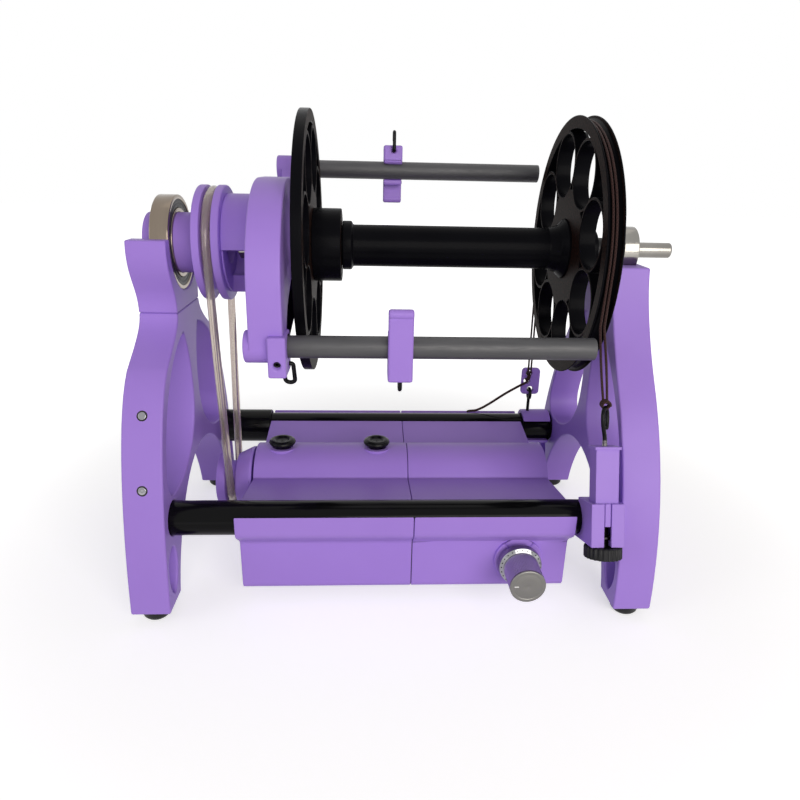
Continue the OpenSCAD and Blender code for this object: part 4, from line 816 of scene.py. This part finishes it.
def bearing(name, rings, start, width, outer, seal, hub, bore, steel):
    s, end = bearingSizes, start + width
    for part, node, body, wide, narrow, edge in (("Outer", rings[0], "root", outer, seal, s["outerEdge"]),
                                                 ("Inner", rings[1], "flyer", hub, bore, s["innerEdge"])):
        addPiece(name + part, [turned(ringProfile(wide, narrow, start, end, edge), axisAt)], steel, body,
                 (node,))
    inside, (mouth, floor, deep) = hub + s["gap"], s["groove"]
    mid = (inside + seal) / 2
    shapes = []
    for face, way in ((start + s["inset"], 1), (end - s["inset"], -1)):
        low, back = face + deep * way, face + s["thick"] * way
        corners = [(inside, face), (mid - mouth, face), (mid - floor, low), (mid + floor, low), (mid + mouth, face),
                   (seal, face), (seal, back), (inside, back)]
        shapes.append(turned(rounded(corners, 0.12, 2), axisAt))
    return shapes


seals = bearing("flyerBearing", ("flyer_bearing_outer", "flyer_bearing_inner"), -118.5, 9, 23.5, 21.35, 17.15, 15.05,
                warmReflectionSteel)
seals += bearing("tailBearing", ("tail_bearing_outer", "tail_bearing_inner"), 116.6, 8, 12, 9.4, 6.6, 4.05, shaftSteel)
addPiece("bearingSeals", seals, rubber, "root", ("bearing_seals",))


# Tubes along X whose place comes from their nodes: outer radius, bore, rounding of the edges
for node, radius, bore, edge, material in (
        ("front_rod", 8.5, 2.2, 0.5, rodBlack), ("rear_rod", 8.5, 2.2, 0.5, rodBlack),
        ("rear_sleeve", 10.6, 8.6, 0.7, rodBlack), ("front_arm", 5.0, 3.8, 0.35, carbon),
        ("rear_arm", 5.0, 3.8, 0.35, carbon)):
    low, high = boxOf(node)
    centre = (low + high) / 2 * (0, 1, 1)
    addPiece(node + "Tube", [turned(ringProfile(radius, bore, low[0], high[0], edge), centre)], material, bodyOf[node],
             (node,))


# Dark strip in the seam of the box: a round strip inside the walls and the floor, so no light comes through. Its
# black is painted shade deep in the seam.
seamShadeStripSizes = {"seamX": 8.5, "radius": 1.2, "half": [
    (0, 5.5), (24, 5.5), (48, 5.5), (57, 5.5), (59.4, 6.2), (60.3, 8), (60.5, 12), (60.5, 20), (60.5, 28), (60.5, 35)]}
seamShadeStripRoute = [(-y, z) for y, z in seamShadeStripSizes["half"][:0:-1]] + seamShadeStripSizes["half"]
seamShadeStripPath = smoothPath([place(seamShadeStripSizes["seamX"], y, z) for y, z in seamShadeStripRoute], 4)
addPiece("boxSeamShadeStrip", [domedTube(seamShadeStripPath, seamShadeStripSizes["radius"], 12, unitX)], rubber, "root")


# Grommets: low domes with a dimple and a short skirt
grommetSizes = {"x": (-63, -9), "sunk": 2.0, "profile": [
    (0, -1.8), (5.5, -1.8, 0.3), (7.0, -1.6, 0.3), (7.6, -0.5, 0.7), (7.1, 0.6, 0.9), (5.7, 1.35, 1.0),
    (4.3, 1.4, 0.8), (3.1, 0.2, 0.6), (0, 0.0)]}
grommetHeight = boxOf("vent_grommets")[1][2] - grommetSizes["sunk"]
grommetShape = rounded(grommetSizes["profile"], 0.2)
addPiece("ventGrommets", [turned(grommetShape, place(x, 0, grommetHeight), unitZ, 96) for x in grommetSizes["x"]],
         vinyl, "root", ("vent_grommets",))


# Wires: a path of round bends, dipped in vinyl, with a bare end where the photograph shows one
wireRadius = 1.0
hookSizes = {"bend": 2.2, "elbow": 1.2, "drop": 8.0, "straight": 4.5, "seat": 3.8, "tip": 0.8, "tipRadius": 0.86}
yokeHookSizes = dict(hookSizes, drop=10.2, at=(-49, -3, -7.4), reach=1.6, rise=1.0)
clipHookSizes = dict(hookSizes, at=(0.5, -61.01, -47.44), reach=2.2, rise=2.3)


# A yarn hook leaves its seat, bends down, and comes back up after half a circle on the side that it came from.
# Gives the dipped wire and its bare tip.
def yarnHook(s, out):
    at, reach = np.array(s["at"]), s["reach"]
    half = np.linspace(0, math.pi, 24)[:, None]
    quarter = np.linspace(0, math.pi / 2, 8)[:, None]
    elbow = at + (reach - s["elbow"]) * out + s["elbow"] * (np.sin(quarter) * out + (np.cos(quarter) - 1) * unitZ)
    hollow = at + (reach - s["bend"]) * out - s["drop"] * unitZ
    bend = hollow + s["bend"] * (np.cos(half) * out - np.sin(half) * unitZ)
    end = bend[-1] + s["rise"] * unitZ
    seat = [at - s["seat"] * out, at - out, at]
    wire = np.concatenate((seat, elbow, [at + reach * out - s["straight"] * unitZ], bend, [end]))
    return wire, np.array([end, end + s["tip"] * unitZ])


def yokeHooks(s):
    shapes, tips = [], []
    wire, tip = yarnHook(s, unitX)
    for side in (-1, 1):
        flat = onArm(side, [(0, 1, 0)])[0] - onArm(side, [(0, 0, 0)])[0]
        shapes.append(domedTube(onArm(side, wire), wireRadius, 14, flat))
        tips.append(domedTube(onArm(side, tip), s["tipRadius"], 12, flat))
    addPiece("yokeHooks", shapes, vinyl, "flyer", ("yoke_hooks",))
    addPiece("yokeHookTips", tips, shaftSteel, "flyer")


def clipWire(node, s, turnOver):
    wire, tip = (onArm(-1, path, turnOver, 0.0) for path in yarnHook(s, unitY))
    addPiece(node + "Vinyl", [domedTube(wire, wireRadius, 14)], vinyl, bodyOf[node], (node,))
    addPiece(node + "Tip", [domedTube(tip, s["tipRadius"], 12)], shaftSteel, bodyOf[node])


yokeHooks(yokeHookSizes)
clipWire("front_hook_wire", clipHookSizes, 0.0)
clipWire("rear_hook_wire", clipHookSizes, math.pi)


# An eye on a stem, as a path of (out, up) points from its foot: the anchor's is nearly a ring, the brake's a long
# open hook that bends over at the same height
ringAngle = np.radians(np.linspace(-90, 220, 40))
eyeSizes = {
    "ring": [(0, -2.4), (0, 2), (0, 5), (0, 7.7), *zip(3.4 * np.cos(ringAngle), 12 + 3.4 * np.sin(ringAngle))],
    "hook": [(0, -4), (0, 0), (0, 2.6), (-0.5, 5), (-1.7, 7.6), (-2.8, 10.2), (-3.3, 13), (-3.1, 15.4), (-2.0, 17.4),
             (0, 18.4), (2.0, 17.4), (3.1, 15.4), (3.3, 13), (3.0, 10.6), (2.3, 8.6)],
    "threadLength": 2.6, "threadRadius": 1.06, "threadDepth": 0.12, "threadPitch": 0.6,
    "brakeFoot": 37.4, "brakeTurnDeg": 38, "anchorFoot": (93.5, 60, 56.5),
}


def wireEye(name, node, route, foot, up, out):
    flat = smoothPath([(a, b, 0) for a, b in route], 4)
    path = foot + flat[:, :1] * out + flat[:, 1:2] * up
    addPiece(name, [domedTube(path, wireRadius, 16, np.cross(out, up))], vinyl, bodyOf[node], (node,))


# Rolled thread on the stem of an eye: the radius swings by threadDepth once in every threadPitch
def eyeThread(name, node, s, foot, up, out):
    t = np.linspace(0, s["threadLength"], 60)
    ring = s["threadRadius"] + s["threadDepth"] * np.abs(np.mod(t / s["threadPitch"], 1) * 2 - 1)
    addPiece(name, [tube(foot + t[:, None] * up, ring, 20, False, out)], shaftSteel, bodyOf[node])


brakeFoot, brakeTurn = onBracket(0, screwLine, eyeSizes["brakeFoot"]), math.radians(eyeSizes["brakeTurnDeg"])
brakeOut = math.cos(brakeTurn) * leanAcross + math.sin(brakeTurn) * unitX
wireEye("brakeHook", "brake_hook", eyeSizes["hook"], brakeFoot, slideAxis, brakeOut)
eyeThread("brakeHookThread", "brake_hook", eyeSizes, brakeFoot, slideAxis, brakeOut)
wireEye("anchorHook", "anchor_hook", eyeSizes["ring"], place(*eyeSizes["anchorFoot"]), unitZ, unitY)


# A ribbed turned shape: each place along the axis has a row of radii, one for each angle round it
def ribbed(places, radii, centre, along, across, other, closeRows):
    angle = np.linspace(0, turn, radii.shape[1], endpoint=False)
    ring = np.cos(angle)[:, None] * across + np.sin(angle)[:, None] * other
    points = centre + places[:, None, None] * along + radii[..., None] * ring[None]
    uv = np.stack(np.broadcast_arrays(angle[None] / turn, places[:, None]), -1).reshape(-1, 2)
    return points.reshape(-1, 3), [gridFaces(*radii.shape, closeRows, True)], uv


# Speed knob: satin knurled body, plated skirt with a ring of dots, spun rim and end with a pointer mark. The rows of
# the body are radius, depth and share of the knurl, those of the other profiles radius, depth and rounding.
knobSizes = {
    "x": 63, "z": 21.5, "ribs": 72, "ribDepth": 0.28,
    "body": [(8.0, -70.3, 0), (8.75, -70.6, 0), (8.75, -71.2, 0), (8.75, -71.6, 1), (8.75, -84.5, 1), (8.75, -84.7, 0),
             (6.0, -84.7, 0), (3.0, -80, 0), (3.0, -71, 0)],
    "rim": [(6.6, -84.0), (8.75, -84.7, 0.1), (8.75, -86, 1.0), (7.1, -86, 0.1), (6.6, -85.7)],
    "skirt": [(4.6, -66.1), (10.75, -66.0, 0.3), (10.75, -69.4, 0.5), (8.9, -70.4, 0.3), (4.6, -70.4)],
    "end": [(0, -80), (7.1, -80), (7.1, -85.88, 0.1), (0, -85.88)],
    "hub": [(0, -66), (3.0, -66), (3.0, -80), (0, -80)],
    "dots": 24, "dotPlace": (9.85, -69.96), "dotOut": (0.447, -0.894),
    "dot": [(0, -0.2), (0.34, -0.2), (0.34, 0.03), (0, 0.03)],
    "mark": [(-6.6, -0.28), (-4.4, -0.28), (-4.4, 0.28), (-6.6, 0.28)], "markFront": -85.92, "markDeep": 0.3,
}
spunSettings = {"tones": ("#6E6D6A", "#8D8B87"), "grainMm": 0.25, "rough": (0.3, 0.46), "bump": 0.2}


# Spun aluminium: fine rings round its centre, dull grey
def spunAluminium(s, centre):
    material, tree, shader = startMaterial("spunAluminium", metal)
    coords = addNode(tree, "ShaderNodeTexCoord").outputs["Object"]
    shifted = addNode(tree, "ShaderNodeVectorMath", {"operation": "SUBTRACT"}, {0: coords, 1: tuple(centre * mm)})
    flatPlace = addNode(tree, "ShaderNodeVectorMath", {"operation": "MULTIPLY"}, {0: shifted.outputs[0], 1: (1, 0, 1)})
    distance = addNode(tree, "ShaderNodeVectorMath", {"operation": "LENGTH"}, {0: flatPlace.outputs[0]})
    rings = addNode(tree, "ShaderNodeTexNoise", {"noise_dimensions": "1D"}, {
        "W": distance.outputs["Value"], "Scale": 1 / (s["grainMm"] * mm), "Detail": grainSettings["detail"]}).outputs[0]
    colouredBy(tree, shader, s, rings, rings)
    return material


def speedKnob(s):
    centre, slot = place(s["x"], 0, s["z"]), slotOf["speed_knob"]
    spun = spunAluminium(spunSettings, centre)
    # Ribs are rounded crests: depth times the half wave of the rib
    angle = np.linspace(0, turn, s["ribs"] * 8, endpoint=False)
    dip = s["ribDepth"] * np.abs(np.mod(angle * s["ribs"] / turn, 1) * 2 - 1) ** 0.8
    radius, depth, share = np.array(s["body"]).T
    body = ribbed(depth, radius[:, None] - share[:, None] * dip, centre, unitY, unitX, unitZ, True)
    addPiece("knobBody", [body], satinPlate, "speed_knob", ("speed_knob",), 30)
    # The other turned parts: rounding of the edges, steps in a corner, steps round the axis, material
    for name, part, edge, steps, around, material in (
            ("knobRim", "rim", 0.05, 4, 128, spun), ("knobSkirt", "skirt", 0.2, 4, 128, plated),
            ("knobEnd", "end", 0.05, 2, 96, spun), ("knobHub", "hub", 0.1, 2, 48, plated)):
        shape = turned(rounded(s[part], edge, steps), centre, unitY, around)
        addPiece(name, [shape], material, "speed_knob")
    # Dots stand square to the skirt's slope, which falls back by one in two
    dot, dots = rounded(s["dot"], 0.02, 1), []
    for a in np.linspace(0, turn, s["dots"], endpoint=False):
        ray = math.cos(a) * unitX + math.sin(a) * unitZ
        spot, out = (p[0] * ray + p[1] * unitY for p in (s["dotPlace"], s["dotOut"]))
        dots.append(turned(dot, centre + spot, out, 16))
    addPiece("knobDots", dots, blackSteel, "speed_knob")
    corners = rounded(s["mark"], 0.2, 3)
    n = len(corners)
    near = centre + np.stack([corners[:, 0], np.full(n, s["markFront"]), corners[:, 1]], 1)
    faces = [gridFaces(2, n, False, True), np.arange(n), np.arange(n) + n]
    mark = (np.concatenate((near, near + s["markDeep"] * unitY)), faces, np.zeros((2 * n, 2)))
    addPiece("knobMark", [mark], markPaint, "speed_knob")


speedKnob(knobSizes)


# Thumb screw: a wheel with 24 round grooves in its rim, a threaded stem and a collar. The rows of the wheel are radius,
# height over its low face and share of the groove.
screwSizes = {
    "low": -16.7, "height": 6.0, "radius": 9.0, "grooves": 24, "grooveRadius": 0.9,
    "wheel": [(0, 0, 0), (6.2, 0, 0), (6.8, 0.25, 0), (8.0, 0.1, 0.3), (8.75, 0.25, 1), (9.0, 0.6, 1), (9.0, 5.4, 1),
              (8.75, 5.75, 1), (8.2, 6.0, 0.4), (6.9, 6.0, 0), (6.3, 5.75, 0), (0, 5.75, 0)],
    "stem": 2.5, "stemTop": 11.4, "stemSides": 48, "pitch": 1.0, "threadDepth": 0.35, "lead": 0.6, "leadShare": 0.25,
    "collar": [(2.2, -7.1), (3.9, -7.1), (3.9, -6.1), (2.2, -6.1)],
}


def tensionScrew(s):
    foot = onBracket(0, screwLine, 0)
    angle = np.linspace(0, turn, s["grooves"] * 16, endpoint=False)
    across, other = unitX, np.cross(slideAxis, unitX)
    # A groove is a round cut whose centre lies half its radius outside the rim
    part = turn / s["grooves"]
    off = np.mod(angle, part) - part / 2
    reach = s["radius"] + s["grooveRadius"] / 2
    cut = s["grooveRadius"] ** 2 - (reach * np.sin(off)) ** 2
    rim = np.minimum(s["radius"], reach * np.cos(off) - np.sqrt(np.maximum(cut, 0)))
    rim = np.where(cut > 0, rim, s["radius"])
    top = s["low"] + s["height"]
    radius, height, share = np.array(s["wheel"]).T
    radii = radius[:, None] - share[:, None] * (s["radius"] - rim)
    wheel = ribbed(s["low"] + height, radii, foot, slideAxis, across, other, False)
    addPiece("thumbWheel", [wheel], mouldedBlack, "tension_screw", ("tension_screw",), 34)
    # A rolled thread: the radius falls by threadDepth between crests that climb one pitch in a turn, and shrinks by
    # leadShare over the lead at the top
    along = np.linspace(top - 0.5, s["stemTop"], int((s["stemTop"] - top) * 10))
    n = s["stemSides"]
    climb = np.mod(along[:, None] / s["pitch"] - np.linspace(0, 1, n, endpoint=False), 1)
    end = np.minimum(1.0, (s["stemTop"] - along) / s["lead"])
    radii = (s["stem"] - s["threadDepth"] * np.abs(2 * climb - 1)) * (1 - s["leadShare"] * (1 - end))[:, None]
    points, faces, uv = ribbed(along, radii, foot, slideAxis, across, other, False)
    stem = (points, [*faces, np.arange(n), np.arange(n) + (len(along) - 1) * n], uv)
    collar = turned(rounded(s["collar"], 0.2, 2), foot, slideAxis, 48)
    addPiece("tensionStem", [stem, collar], blackSteel, "tension_screw")


tensionScrew(screwSizes)

# Bat lever of the direction switch: a ball in its bush, a waist and a thicker end
leverProfile = [(0, -1.55), (1.5, -0.9, 0.7), (1.5, 0.5, 0.7), (1.0, 1.6, 0.8), (1.1, 7.5, 2.0), (1.55, 10.2, 0.9),
                (1.4, 11.5, 0.6), (0, 11.55)]
leverLow, leverHigh = boxOf("direction_toggle")
leverFoot = (leverLow + leverHigh) / 2
leverFoot[1] = leverLow[1] + 1.6
turnedPiece("directionLever", "direction_toggle", leverProfile, 0.1, plated, leverFoot, unitY, 48)
print("controls made")


# Floor, lamps and background
# Camera, mirror and see-through rays get the white of the background, all other rays the plain light
def seenRays(tree):
    path = addNode(tree, "ShaderNodeLightPath")
    mirrored = addNode(tree, "ShaderNodeMath", {"operation": "MAXIMUM"}, {
        0: path.outputs["Is Camera Ray"], 1: path.outputs["Is Glossy Ray"]})
    return addNode(tree, "ShaderNodeMath", {"operation": "MAXIMUM"}, {
        0: mirrored.outputs[0], 1: path.outputs["Is Transmission Ray"]}).outputs[0]


# White paper that keeps the shadow near the object and runs out into the white of the background away from it
floorSettings = {"colour": "#E8E8E8", "glowNear": 0.55, "glowFar": 1.0, "nearMm": 160, "farMm": 480, "reach": 3.0}


def stageFloor(s):
    mesh = bpy.data.meshes.new("floor")
    r = s["reach"]
    mesh.from_pydata([(-r, -r, 0), (r, -r, 0), (r, r, 0), (-r, r, 0)], [], [(0, 1, 2, 3)])
    floor = bpy.data.objects.new("floor", mesh)
    material, tree, shader = startMaterial("whitePaperFloor", {
        "Base Color": hexLinear(s["colour"]), "Roughness": 0.9, "Specular IOR Level": 0.0,
        "Emission Color": (1, 1, 1, 1)})
    away = addNode(tree, "ShaderNodeVectorMath", {"operation": "LENGTH"}, {
        0: addNode(tree, "ShaderNodeTexCoord").outputs["Object"]})
    level = addNode(tree, "ShaderNodeMapRange", {"interpolation_type": "SMOOTHSTEP"}, {
        0: away.outputs["Value"], 1: s["nearMm"] * mm, 2: s["farMm"] * mm, 3: s["glowNear"], 4: s["glowFar"]})
    glow = addNode(tree, "ShaderNodeMath", {"operation": "MULTIPLY"}, {0: seenRays(tree), 1: level.outputs[0]})
    tree.links.new(glow.outputs[0], shader.inputs["Emission Strength"])
    floor.data.materials.append(material)
    bpy.context.scene.collection.objects.link(floor)


# A rectangular lamp that looks from one place at another
def addLamp(name, at, aim, size, power, colour):
    lamp = bpy.data.lights.new(name, "AREA")
    lamp.shape = "RECTANGLE"
    lamp.size, lamp.size_y = size
    lamp.energy = power
    lamp.color = hexLinear(colour)[:3]
    holder = bpy.data.objects.new(name, lamp)
    ahead = np.array(aim, float) - at
    ahead /= np.linalg.norm(ahead)
    right = np.cross(ahead, unitZ)
    right /= np.linalg.norm(right)
    holder.matrix_world = poseOf(right, np.cross(right, ahead), -ahead, at)
    bpy.context.scene.collection.objects.link(holder)


# Plain light from all round, and white where the background is seen
worldSettings = {"plainLight": 0.22, "seen": 1.0}


def whiteWorld(s):
    world = bpy.data.worlds.new("studio")
    bpy.context.scene.world = world
    world.use_nodes = True
    tree = world.node_tree
    back = tree.nodes["Background"]
    level = addNode(tree, "ShaderNodeMix", inputs={0: seenRays(tree), 2: s["plainLight"], 3: s["seen"]})
    back.inputs["Color"].default_value = (1, 1, 1, 1)
    tree.links.new(level.outputs[0], back.inputs["Strength"])


stageFloor(floorSettings)
whiteWorld(worldSettings)
# In metres and watts: place, what the lamp looks at, width and height, power, colour
lampSettings = {
    "windowKey": ((0.45, -1.35, 0.55), (0, 0, 0.11), (1.2, 0.9), 15.2, "#FFFAF4"),
    "leftFill": ((-1.2, -0.6, 0.5), (0, 0, 0.11), (0.7, 0.9), 3, "#F4F6FF"),
    "softTop": ((0.1, 0.4, 1.3), (0, 0, 0.1), (1.0, 0.8), 0.9, "#FFF6EC"),
}
for name, values in lampSettings.items():
    addLamp(name, *values)
bpy.context.scene.view_settings.view_transform = "Standard"

print("stage set")
